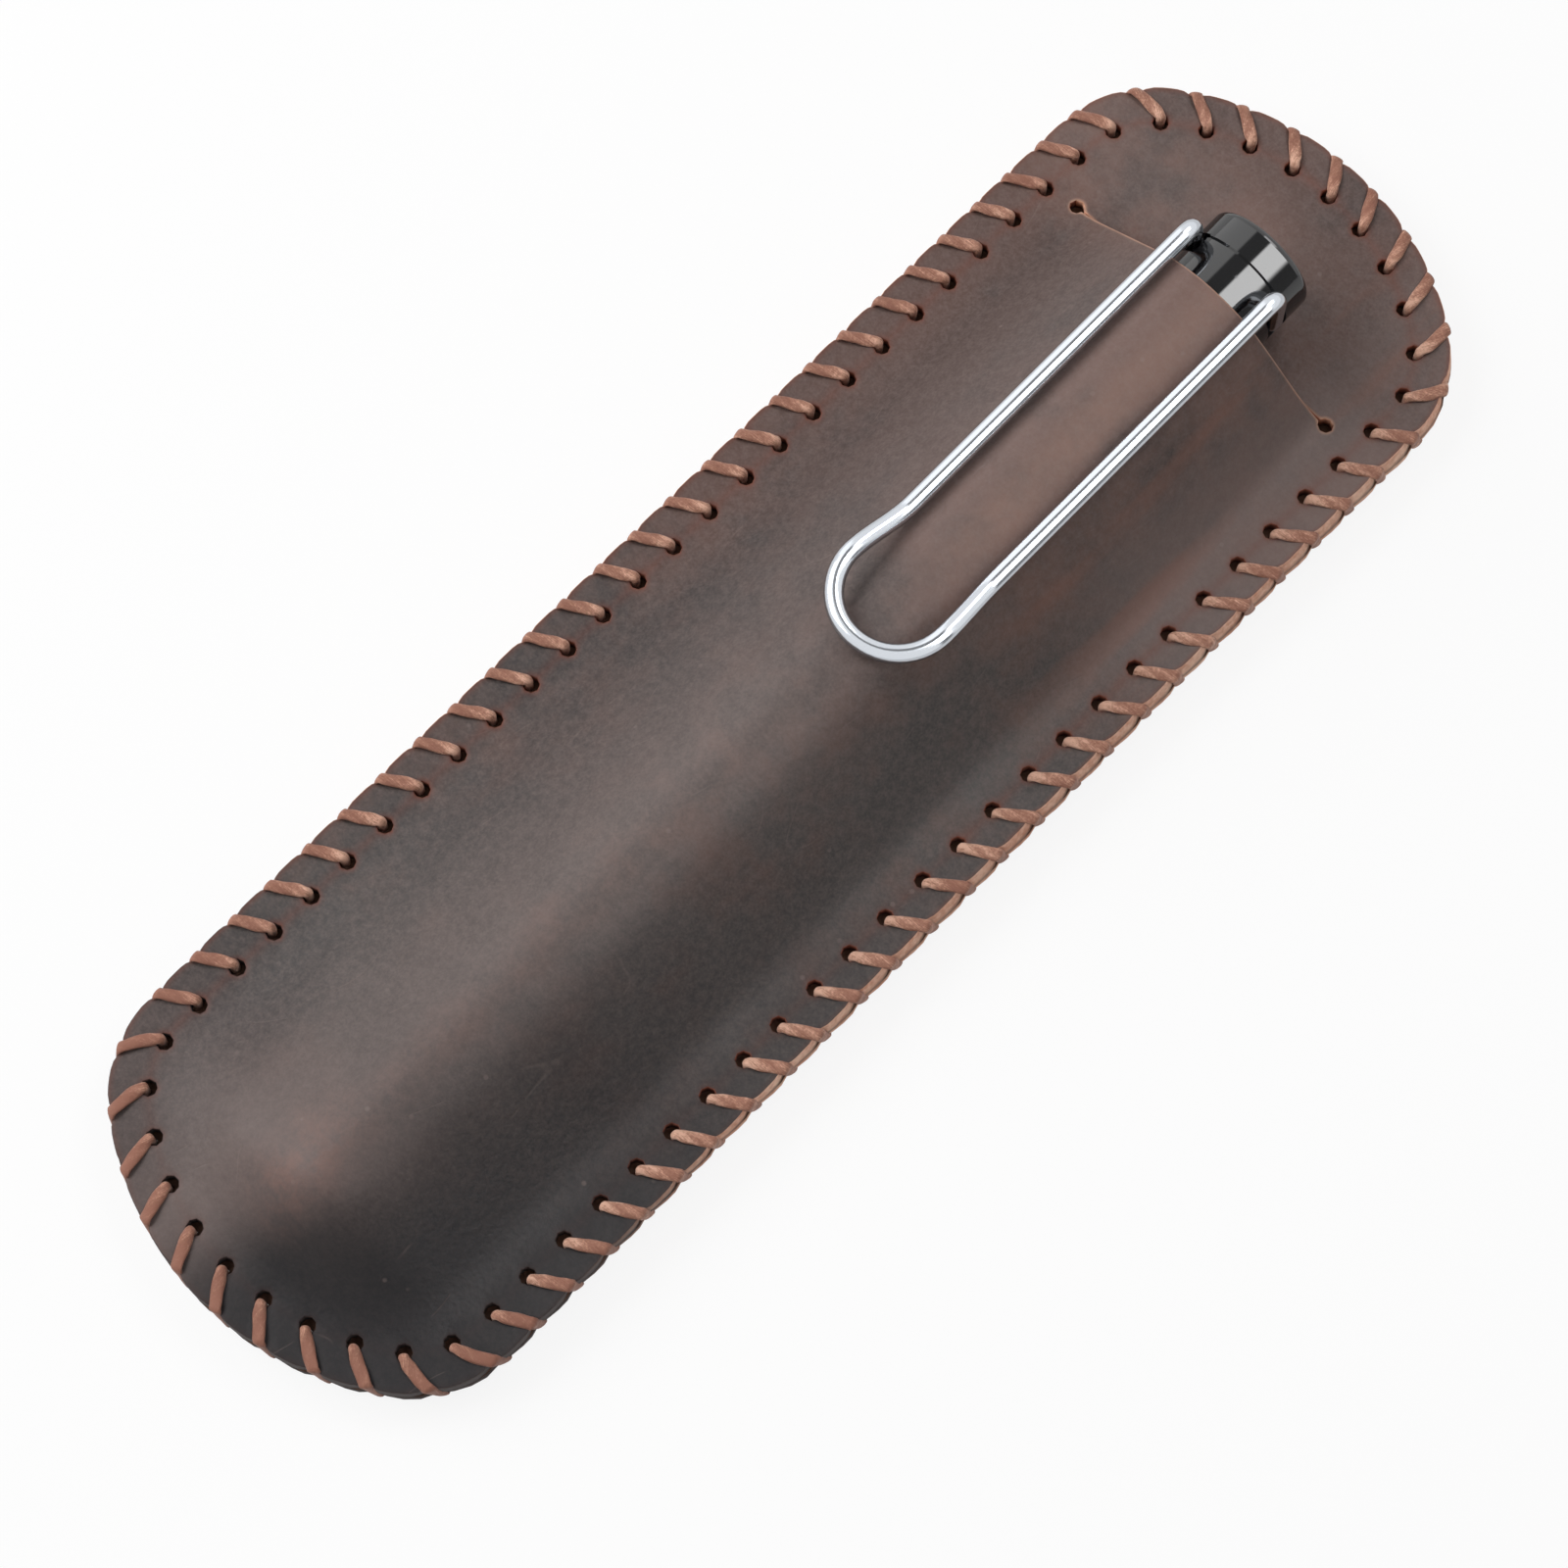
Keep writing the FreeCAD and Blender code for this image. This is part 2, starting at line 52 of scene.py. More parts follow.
class Dye:
    # one socket of a material; sums on it add Math nodes
    def __init__(self, tree, socket=None):
        self.tree = tree
        self.socket = socket

    def add(self, kind, settings=None, inputs=None, out=0):
        node = self.tree.nodes.new(kind)
        for name, value in (settings or {}).items():
            setattr(node, name, value)
        for key, value in (inputs or {}).items():
            if isinstance(value, Dye):
                self.tree.links.new(value.socket, node.inputs[key])
            else:
                node.inputs[key].default_value = value
        return Dye(self.tree, node.outputs[out])

    def sum(self, operation, first, second=0.0):
        return self.add("ShaderNodeMath", {"operation": operation}, {0: first, 1: second})

    def __add__(self, other):
        return self.sum("ADD", self, other)

    def __radd__(self, other):
        return self.sum("ADD", other, self)

    def __sub__(self, other):
        return self.sum("SUBTRACT", self, other)

    def __rsub__(self, other):
        return self.sum("SUBTRACT", other, self)

    def __mul__(self, other):
        return self.sum("MULTIPLY", self, other)

    def __rmul__(self, other):
        return self.sum("MULTIPLY", other, self)

    def __truediv__(self, other):
        return self.sum("DIVIDE", self, other)

    def __abs__(self):
        return self.sum("ABSOLUTE", self)

    def smooth(self, low, high):
        # 0 below low, 1 above high, soft between
        spread = {"interpolation_type": "SMOOTHSTEP", "clamp": True}
        return self.add("ShaderNodeMapRange", spread, {"Value": self, "From Min": low, "From Max": high})

    def tint(self, low, high):
        # colour low where this is 0, high where it is 1
        return self.add("ShaderNodeMix", {"data_type": "RGBA"}, {0: self, 6: low, 7: high}, 2)

    def axes(self):
        # the three parts of a place
        parts = self.add("ShaderNodeSeparateXYZ", None, {0: self}).socket.node.outputs
        return [Dye(self.tree, part) for part in parts]

    def drawn(self, scale):
        # this place, scaled along each axis to draw a pattern out
        return self.add("ShaderNodeMapping", None, {"Vector": self, "Scale": scale})

    def cloud(self, scale, detail, rough=0.5):
        # noise over this place
        inputs = {"Vector": self, "Scale": scale, "Detail": detail, "Roughness": rough}
        return self.add("ShaderNodeTexNoise", None, inputs)

    def layer(self, name):
        # a value that the mesh keeps at its vertices
        return self.add("ShaderNodeAttribute", {"attribute_name": name}, None, "Fac")

    def bump(self, strength, depth):
        # this as a height, depth in metres
        return self.add("ShaderNodeBump", None, {"Strength": strength, "Distance": depth, "Height": self})


def newFinish(name, plain):
    # a material with these plain values, and what is needed to wire it
    material = bpy.data.materials.new(name)
    material.use_nodes = True
    shader = material.node_tree.nodes["Principled BSDF"]
    for key, value in plain.items():
        shader.inputs[key].default_value = value
    return material, Dye(material.node_tree), shader


def wire(shader, links):
    for key, dye in links.items():
        dye.tree.links.new(dye.socket, shader.inputs[key])


# Camera: where the photograph was taken from, in degrees and mm; what it sees, in metres
shot = {
    "azimuth": 44.214, "elevation": 73.616, "distance": 417.15, "lens": 101.475, "sensor": 36.0,
    "target": (4.08, -5.95, 4.4), "nearest": 0.01, "farthest": 20.0,
}


def setCamera(s):
    turn = math.radians(s["azimuth"])
    lift = math.radians(s["elevation"])
    back = Vector((math.sin(turn) * math.cos(lift), -math.cos(turn) * math.cos(lift), math.sin(lift)))
    lens = bpy.data.cameras.new("photoCamera")
    lens.lens = s["lens"]
    lens.sensor_width = s["sensor"]
    lens.clip_start = s["nearest"]
    lens.clip_end = s["farthest"]
    camera = bpy.data.objects.new("photoCamera", lens)
    camera.location = (Vector(s["target"]) + back * s["distance"]) * mm
    camera.rotation_euler = back.to_track_quat("Z", "Y").to_euler()
    bpy.context.collection.objects.link(camera)
    bpy.context.scene.camera = camera


setCamera(shot)
print("camera set")


# Sleeve plan in mm: straight sides, each end a crown between two corner arcs, holes along an inset line
sleeve = {
    "halfWidth": 23.8, "halfLength": 78.3, "cornerRadius": 13.0, "crownRise": 3.5,
    "leather": 1.6, "rimRise": 1.2, "footInset": 6.8,
    "curl": 0.6, "curlFrom": 15.0, "curlPast": 5.0, "curlFade": 16.0,
    "stitches": 74, "firstStitch": 0.75, "holeInset": 3.8,
    "driftMean": -0.2, "driftWave": 0.75, "driftNoise": 0.3, "driftGrain": 40, "driftSeed": (0.3, 2.0),
    "driftFade": 2,
}
seamZ = sleeve["rimRise"] + sleeve["leather"]
rimTop = seamZ + sleeve["leather"]
endDepth = sleeve["cornerRadius"] + sleeve["crownRise"]
straightHalf = sleeve["halfLength"] - endDepth
cornerX = sleeve["halfWidth"] - sleeve["cornerRadius"]
crownRadius = (cornerX ** 2 + endDepth ** 2 - sleeve["cornerRadius"] ** 2) / (2 * sleeve["crownRise"])
crownY = sleeve["halfLength"] - crownRadius
crownAngle = math.atan2(cornerX, straightHalf - crownY)
cornerArc = (sleeve["cornerRadius"] - sleeve["holeInset"]) * (math.pi / 2 - crownAngle)
crownArc = (crownRadius - sleeve["holeInset"]) * 2 * crownAngle
seamHalf = 2 * straightHalf + 2 * cornerArc + crownArc
pitch = 2 * seamHalf / sleeve["stitches"]


def soften(share):
    # 0 to 1 with soft ends
    share = max(0.0, min(1.0, share))
    return share * share * (3 - 2 * share)


def bell(off, width):
    # 1 in the middle, falling away over this width
    return math.exp(-(off / width) ** 2)


def edgeSpot(s, inset):
    # point at arc length s of the hole line and this far in from the edge, with the outward direction
    s = s % (2 * seamHalf)
    turned = s >= seamHalf
    s = s - seamHalf if turned else s
    if s < 2 * straightHalf:
        out = Vector((-1.0, 0.0, 0.0))
        spot = Vector((inset - sleeve["halfWidth"], s - straightHalf, 0.0))
    else:
        s -= 2 * straightHalf
        corner = sleeve["cornerRadius"]
        arcs = (
            (Vector((-cornerX, straightHalf, 0.0)), corner, math.pi, cornerArc),
            (Vector((0.0, crownY, 0.0)), crownRadius, math.pi / 2 + crownAngle, crownArc),
            (Vector((cornerX, straightHalf, 0.0)), corner, math.pi / 2 - crownAngle, cornerArc),
        )
        for centre, radius, start, length in arcs:
            if s <= length or centre.x > 0:
                break
            s -= length
        angle = start - s / (radius - sleeve["holeInset"])
        out = Vector((math.cos(angle), math.sin(angle), 0.0))
        spot = centre + out * (radius - inset)
    return (-spot, -out) if turned else (spot, out)


def handDrift(s, inset):
    # the holes were punched by hand: their spacing drifts slowly along each side
    turns = s / (2 * seamHalf)
    uneven = noise.noise(Vector((turns * sleeve["driftGrain"], *sleeve["driftSeed"])))
    slow = sleeve["driftMean"] - sleeve["driftWave"] * math.cos(4 * math.pi * turns)
    slow += sleeve["driftNoise"] * uneven
    return slow * min(1.0, (sleeve["footInset"] - inset) / sleeve["driftFade"])


def curlAt(x, y):
    # the stuffed front panel draws the long edges up a little
    reach = max(0.0, (abs(x) - sleeve["curlFrom"]) / (sleeve["halfWidth"] - sleeve["curlFrom"]))
    side = soften((straightHalf + sleeve["curlPast"] - abs(y)) / sleeve["curlFade"])
    return sleeve["curl"] * reach * reach * side


def halfWidthAt(y, inset):
    # half the plan's width at y, this far in from the edge
    depth = abs(y) - straightHalf
    corner = sleeve["cornerRadius"] - inset
    if depth <= 0:
        return sleeve["halfWidth"] - inset
    if depth <= corner * math.cos(crownAngle):
        return cornerX + math.sqrt(corner ** 2 - depth ** 2)
    return math.sqrt(max(0.0, (crownRadius - inset) ** 2 - (abs(y) - crownY) ** 2))


# Pocket over the pen, in mm: ridge heights along the pen and the shape of the cross section
pocket = {
    "penX": 1.6, "innerRadius": 6.2, "mouthFoot": 17.0, "mouthBend": 5.0, "bend": 7.0, "inset": 4.8,
    "widening": 24.0, "fallPower": 2.2, "lastRise": 0.12,
    "ridge": ((56.4, 17.215), (3.3, 15.182), (-58.0, 11.609)), "flatEnd": -72.0,
    "slitY": 56.4, "slitHalf": 16.4, "kerf": 0.3, "stopRadius": 0.75,
    "slitReach": 5.0, "bandMargin": 0.05, "slitMargin": 0.01, "slitNear": 0.02,
    "softX": 1.15, "softY": 3.0, "softDrop": 0.2, "lipDraw": 0.16, "lipReach": 14.0,
    "sharesX": ((-2, 1 / 9), (-1, 2 / 9), (0, 3 / 9), (1, 2 / 9), (2, 1 / 9)),
    "sharesY": ((-1, 0.25), (0, 0.5), (1, 0.25)),
}


def ridgeAt(y):
    # height of the inner ridge, how far out the foot lies and how wide its hollow bend is
    line = pocket["ridge"]
    spread = min(1.0, (pocket["slitY"] - y) / pocket["widening"])
    foot = pocket["mouthFoot"] + (sleeve["halfWidth"] - pocket["inset"] - pocket["mouthFoot"]) * spread
    foot = min(foot, halfWidthAt(y, pocket["inset"]))
    bend = pocket["mouthBend"] + (pocket["bend"] - pocket["mouthBend"]) * spread
    for (highY, high), (lowY, low) in zip(line, line[1:]):
        if y >= lowY:
            return low + (high - low) * (y - lowY) / (highY - lowY), foot, bend
    fullY, full = line[-1]
    share = min(1.0, (y - fullY) / (pocket["flatEnd"] - fullY))
    drop = 0.5 - 0.5 * math.cos(math.pi * share ** pocket["fallPower"])
    return full + (seamZ + pocket["lastRise"] - full) * drop, foot, bend


def pocketHeight(x, y, thick):
    # height of the front leather over the pen: an arc, a straight flank each side, a hollow bend at the foot
    base = seamZ + thick
    if y > pocket["slitY"] or y < pocket["flatEnd"]:
        return base
    apex, foot, bend = ridgeAt(y)
    side = 1 if x > pocket["penX"] else -1
    radius = pocket["innerRadius"] + thick
    bend -= thick
    centreZ = apex - pocket["innerRadius"]
    footX = side * foot
    if side * x >= foot:
        return base
    reachX = footX - pocket["penX"]
    reachZ = base + bend - centreZ
    gap = math.hypot(reachX, reachZ)
    angle = math.atan2(reachZ, reachX) + side * math.acos(min(1.0, (radius + bend) / gap))
    topX = pocket["penX"] + math.cos(angle) * radius
    lowX = footX - math.cos(angle) * bend
    if side * x >= side * lowX:
        return base + bend - math.sqrt(max(0.0, bend ** 2 - (x - footX) ** 2))
    if side * x >= side * topX:
        share = (x - topX) / (lowX - topX)
        topZ = centreZ + math.sin(angle) * radius
        lowZ = base + bend - math.sin(angle) * bend
        return topZ + (lowZ - topZ) * share
    return centreZ + math.sqrt(max(0.0, radius ** 2 - (x - pocket["penX"]) ** 2))


def softPocket(x, y, thick):
    # the same height as soft leather takes it: evened out over a few millimetres, the pen still under it
    plain = pocketHeight(x, y, thick)
    if y > pocket["slitY"]:
        return plain
    total = 0.0
    for stepX, shareX in pocket["sharesX"]:
        for stepY, shareY in pocket["sharesY"]:
            nearY = min(pocket["slitY"], y + stepY * pocket["softY"])
            total += shareX * shareY * pocketHeight(x + stepX * pocket["softX"], nearY, thick)
    return max(total, plain - pocket["softDrop"])


def lipDraw(spot):
    # the raised lip is drawn back along the pen, the more the higher it stands
    back = (pocket["slitY"] - spot.y) / pocket["lipReach"]
    if back < 0 or back > 1:
        return 0.0
    return pocket["lipDraw"] * max(0.0, spot.z - rimTop) * (1 - back) ** 2


def newPiece(name, bm, materials):
    # a finished mesh in mm becomes an object in metres
    mesh = bpy.data.meshes.new(name)
    bmesh.ops.scale(bm, vec=(mm, mm, mm), verts=bm.verts)
    bm.to_mesh(mesh)
    bm.free()
    for material in materials:
        mesh.materials.append(material)
    piece = bpy.data.objects.new(name, mesh)
    bpy.context.collection.objects.link(piece)
    for polygon in mesh.polygons:
        polygon.use_smooth = True
    print(name, "faces", len(mesh.polygons))
    return piece


def crossLine(bm, start, end, parts):
    # an edge across the panel, cut into even parts
    edge = bm.edges.new((start, end))
    line = []
    for k in range(parts, 1, -1):
        start = bmesh.utils.edge_split(edge, start, 1 / k)[1]
        line.append(start)
    return line


def panelSheet(columns, insets, hole, slit):
    # flat plan of one panel: a band of columns round the edge with the stitch holes, filled with a grid
    bm = bmesh.new()
    along = bm.verts.layers.float.new("along")
    inset = bm.verts.layers.float.new("inset")
    total = columns * sleeve["stitches"]
    bands = len(insets) - 1
    bmesh.ops.create_grid(bm, x_segments=total, y_segments=bands, size=0.5)
    grid = {}
    for v in bm.verts:
        column = round((v.co.x + 0.5) * total)
        row = round((v.co.y + 0.5) * bands)
        v[along] = (column / columns + sleeve["firstStitch"]) * pitch
        v[inset] = insets[row]
        v.co = edgeSpot(v[along] + handDrift(v[along], insets[row]), insets[row])[0]
        grid[column, row] = v
    bmesh.ops.weld_verts(bm, targetmap={grid[total, row]: grid[0, row] for row in range(bands + 1)})
    ring = [(a, b) for a in (-1, 0, 1) for b in (-1, 0, 1) if a or b]
    holeInset, holeRadius = hole
    holeRow = insets.index(holeInset)
    centres = []
    for i in range(sleeve["stitches"]):
        centre = grid[i * columns, holeRow]
        for a, b in ring:
            v = grid[(i * columns + a) % total, holeRow + b]
            v.co = centre.co + (v.co - centre.co).normalized() * holeRadius
        centres.append(centre)
    bmesh.ops.delete(bm, geom=centres, context="VERTS")
    # the band's inner edge as two rails, and the cross lines between which the grid is filled
    step = pitch / columns
    zero = -sleeve["firstStitch"] * columns
    first = round(zero - cornerArc / step)
    rows = round(2 * straightHalf / step + 2 * zero) - 2 * first
    last = total // 2 + rows + first
    across = total // 2 - rows
    left = [grid[(first + j) % total, 0] for j in range(rows + 1)]
    right = [grid[(last - j) % total, 0] for j in range(rows + 1)]
    slitRow = round((pocket["slitY"] + straightHalf) / step + zero - first)
    stops = [round(zero - first), slitRow, round(2 * straightHalf / step + zero - first)]
    band = set(bm.verts)
    lines = {j: crossLine(bm, left[j], right[j], across) for j in stops}
    for low, high in zip([0] + stops, stops + [rows]):
        rails = [bm.edges.get((line[j], line[j + 1])) for line in (left, right) for j in range(low, high)]
        bmesh.ops.grid_fill(bm, edges=rails, use_smooth=True, use_interp_simple=True)
    for v in bm.verts:
        if v not in band:
            v[inset] = hand["farIn"]
    if slit:
        cutSlit(bm, lines[slitRow])
    return bm


def cutSlit(bm, line):
    # a straight cut across the front panel, with a round stop at each end
    line.sort(key=lambda v: v.co.x)
    wasY = sum(v.co.y for v in line) / len(line)
    shift = pocket["slitY"] - wasY
    reach = pocket["slitReach"]
    bandX = sleeve["halfWidth"] - sleeve["footInset"] - pocket["bandMargin"]
    for v in bm.verts:
        off = abs(v.co.y - wasY)
        if off < reach and abs(v.co.x) < bandX:
            v.co.y += shift * (1 - off / reach)
    for v in line:
        v.co.y = pocket["slitY"]
    ends = [line[0], line[-1]]
    edges = [bm.edges.get(pair) for pair in zip(line[1:-2], line[2:-1])]
    for centre in ends:
        near = {v for face in centre.link_faces for v in face.verts if v is not centre}
        middle = centre.co.copy()
        for v in near:
            v.co = middle + (v.co - middle).normalized() * pocket["stopRadius"]
    bmesh.ops.delete(bm, geom=ends, context="VERTS")
    inside = line[1:-1]
    bmesh.ops.split_edges(bm, edges=edges)
    lowX = inside[0].co.x - pocket["slitMargin"]
    highX = inside[-1].co.x + pocket["slitMargin"]
    for v in bm.verts:
        if abs(v.co.y - pocket["slitY"]) < pocket["slitNear"] and lowX < v.co.x < highX:
            middle = sum(f.calc_center_median().y for f in v.link_faces) / len(v.link_faces)
            v.co.y += pocket["kerf"] / 2 * (1 if middle > pocket["slitY"] else -1)


# Hand of the leather: how the stitches press, draw and rub it, and how rounded its edges are
hand = {
    "columnsFront": 8, "columnsBack": 4, "holeFront": (3.8, 0.82), "holeBack": (3.36, 0.5),
    "insetsFront": (6.8, 6.2, 5.6, 5.0, 4.4, 3.8, 3.2, 2.6, 2.0, 1.5, 1.0, 0.55, 0.22, 0.0),
    "insetsBack": (6.8, 6.0, 4.6, 3.36, 2.5, 1.8, 1.1, 0.5, 0.0),
    "backLag": 0.42, "frontLag": 0.58, "farIn": 99.0,
    "edgePull": 0.38, "pullReach": 2.5, "notch": 0.75, "edgeRound": 0.16, "roundSteps": 3,
    "slant": 0.52, "slantLeast": 0.06, "slantReach": 1.6,
    "slantFrom": -48.0, "slantRun": 40.0, "slantTurn": 3,
    "dimple": 0.16, "dimpleWidth": 1.15, "press": 0.16, "pressWidth": 0.75, "swell": 0.10, "swellReach": 3.5,
    "lineWear": 0.45, "lineWidth": 0.9, "edgeWear": 0.6, "edgeWidth": 0.7, "pressWear": 0.35, "lipWidth": 0.5,
    "wave": 0.12, "waveX": 14, "waveY": 18, "waveSeed": 3.1, "waveRise": 3.0,
}


def stitchMarks(s, inset, lag):
    # how near a point of the band is to its hole, to the thread's run and to the thread's place at the edge
    share = (s / pitch - sleeve["firstStitch"]) % 1
    toHole = math.hypot(min(share, 1 - share) * pitch, inset - sleeve["holeInset"])
    hole = bell(toHole, hand["dimpleWidth"])
    cross = bell((share - lag) * pitch, hand["notch"])
    runStart = Vector((lag * pitch, 0.0))
    runEnd = Vector((pitch if lag > 0.5 else 0.0, sleeve["holeInset"]))
    run = runEnd - runStart
    spot = Vector((share * pitch, inset)) - runStart
    t = max(0.0, min(1.0, spot.dot(run) / run.length_squared))
    press = bell((spot - run * t).length, hand["pressWidth"])
    return hole, press, cross


def dressPanel(bm, topAt, underAt, lag, pressTop):
    # thickness, the stitches' pull and press, rounded edges; faces: 0 grain, 1 cut edge, 2 flesh side
    along = bm.verts.layers.float["along"]
    inset = bm.verts.layers.float["inset"]
    wear = bm.verts.layers.float.new("wear")
    lip = bm.verts.layers.float.new("lip")
    seam = bm.verts.layers.float.new("seam")
    for v in bm.verts:
        if pressTop and abs(v.co.x) < pocket["slitHalf"]:
            v[lip] = bell(pocket["slitY"] - v.co.y, hand["lipWidth"])
        if v[inset] < hand["farIn"]:
            hole, press, cross = stitchMarks(v[along], v[inset], lag)
            pull = hand["edgePull"] * cross * max(0.0, 1 - v[inset] / hand["pullReach"])
            v.co -= edgeSpot(v[along], v[inset])[1] * pull
            line = hand["lineWear"] * bell(v[inset] - sleeve["holeInset"], hand["lineWidth"])
            rim = hand["edgeWear"] * bell(v[inset], hand["edgeWidth"])
            v[wear] = max(hole, line, rim, hand["pressWear"] * press)
    whole = bm.faces[:] + bm.edges[:] + bm.verts[:]
    made = bmesh.ops.extrude_face_region(bm, geom=whole, use_keep_orig=True)
    upper = {g for g in made["geom"] if isinstance(g, bmesh.types.BMVert)}
    for v in bm.verts:
        x = v.co.x
        y = v.co.y
        v.co.z = topAt(x, y) if v in upper else underAt(x, y)
        if pressTop:
            v.co.y -= lipDraw(v.co)
        if pressTop and v in upper and v[inset] < hand["slantReach"]:
            outward = edgeSpot(v[along], v[inset])[1]
            upperShare = max(0.0, min(1.0, (y - hand["slantFrom"]) / hand["slantRun"]))
            toRight = max(0.0, outward.x) ** hand["slantTurn"]
            slant = (hand["slant"] - hand["slantLeast"]) * toRight * upperShare
            slant += hand["slantLeast"]
            v.co -= outward * slant * (1 - v[inset] / hand["slantReach"])
        outside = (v in upper) == pressTop
        v[seam] = 0.0 if outside else 1.0
        if outside and v[inset] < hand["farIn"]:
            hole, press, cross = stitchMarks(v[along], v[inset], lag)
            sink = hand["dimple"] * hole
            if v[inset] < sleeve["holeInset"]:
                sink = max(sink, hand["press"] * press)
            between = max(0.0, 1 - v[inset] / hand["swellReach"]) * (1 - cross)
            v.co.z += (hand["swell"] * between - sink) * (1 if pressTop else -1)
    for face in bm.faces:
        count = sum(v in upper for v in face.verts)
        if 0 < count < len(face.verts):
            face.material_index = 1
        else:
            face.material_index = 0 if (count > 0) == pressTop else 2
    bmesh.ops.recalc_face_normals(bm, faces=bm.faces)
    rims = [e for e in bm.edges if {f.material_index for f in e.link_faces} == {0, 1}]
    bmesh.ops.bevel(
        bm, geom=rims, offset=hand["edgeRound"], segments=hand["roundSteps"], profile=0.5, affect="EDGES",
        material=-1, clamp_overlap=True,
    )


def softWave(x, y):
    # slow unevenness of hand-worked leather
    return hand["wave"] * noise.noise(Vector((x / hand["waveX"], y / hand["waveY"], hand["waveSeed"])))


def frontTop(x, y):
    # the outside of the front panel, uneven only where it stands up over the pen
    z = softPocket(x, y, sleeve["leather"])
    rise = min(1.0, (z - rimTop) / hand["waveRise"])
    return z + softWave(x, y) * rise + curlAt(x, y)


def frontUnder(x, y):
    return softPocket(x, y, 0.0) + curlAt(x, y)


# Pressed dish of the back panel, in mm: its floor is what the sleeve lies on
dish = {"top": 51.0, "bottom": -71.0, "slope": 4.0, "corner": 10.0}


def dishRise(x, y):
    # 0 on the dish's floor, 1 on the rim
    halfX = sleeve["halfWidth"] - sleeve["footInset"]
    middle = (dish["top"] + dish["bottom"]) / 2
    halfY = (dish["top"] - dish["bottom"]) / 2
    cornerDx = max(0.0, abs(x) - (halfX - dish["corner"]))
    cornerDy = max(0.0, abs(y - middle) - (halfY - dish["corner"]))
    inside = dish["corner"] - math.hypot(cornerDx, cornerDy)
    if cornerDx == 0.0 and cornerDy == 0.0:
        inside = dish["slope"]
    return soften(1 - inside / dish["slope"])


def backTop(x, y):
    return sleeve["leather"] + sleeve["rimRise"] * dishRise(x, y) + curlAt(x, y)


def backUnder(x, y):
    return sleeve["rimRise"] * dishRise(x, y) + curlAt(x, y)


# Waxed leather: its colours as the screen shows them
leather = {
    "warm": ink(108, 82, 74), "cool": ink(70, 67, 66), "dark": ink(26, 25, 27), "pale": ink(139, 124, 119),
    # the first tone on the next line is paler, for painted light and sheen, partly rubbed wear
    "wornAndLit": ink(121, 106, 102), "tan": ink(154, 122, 109), "lip": ink(176, 138, 118),
    "blush": ink(134, 92, 78), "red": ink(116, 60, 44),
    # the cut edge's light tones: its own tan, set paler still as painted light where the edge lies in shade
    "edge": ink(246, 204, 178), "edgeDark": ink(200, 138, 110), "edgeDyed": ink(52, 42, 40),
    "flesh": ink(112, 82, 66), "fleshDark": ink(80, 56, 44),
    "scale": {
        "mottle": 70.0, "patch": 260.0, "streaks": 170.0, "pores": 1700.0, "fine": 3600.0, "grain": 1300.0,
        "scuffs": 210.0, "hairs": 95.0, "hairGaps": 180.0, "specks": 330.0, "speckGaps": 120.0,
    },
    "darkShare": {
        # the lower right, upper right, flank, left and under-bow shares darken painted shade and painted
        # shadows
        "lowRight": 0.92, "highRight": 0.42, "flank": 0.12, "left": 0.68, "lowLeft": 0.62, "bottom": 0.8,
        "underBow": 0.36, "topEnd": 0.4, "heel": 0.16,
    },
    # shares of painted light and sheen, partly rubbed wear, on the ridge, the toe, the upper left corner and
    # the upper right flank
    "wornAndLitShare": {"ridge": 0.34, "toe": 0.28, "highLeft": 0.24, "highFlank": 0.6},
    "blushShare": {"scuff": 0.36, "streak": 0.12, "toeRub": 0.24},
    "hairCount": 9.0, "hairWidth": 0.035, "holeTint": 0.92, "seamTint": 0.6,
}


def planPlace(place):
    # place on the sleeve in mm: across it and along it
    across, along, _ = place.axes()
    return across / mm, along / mm


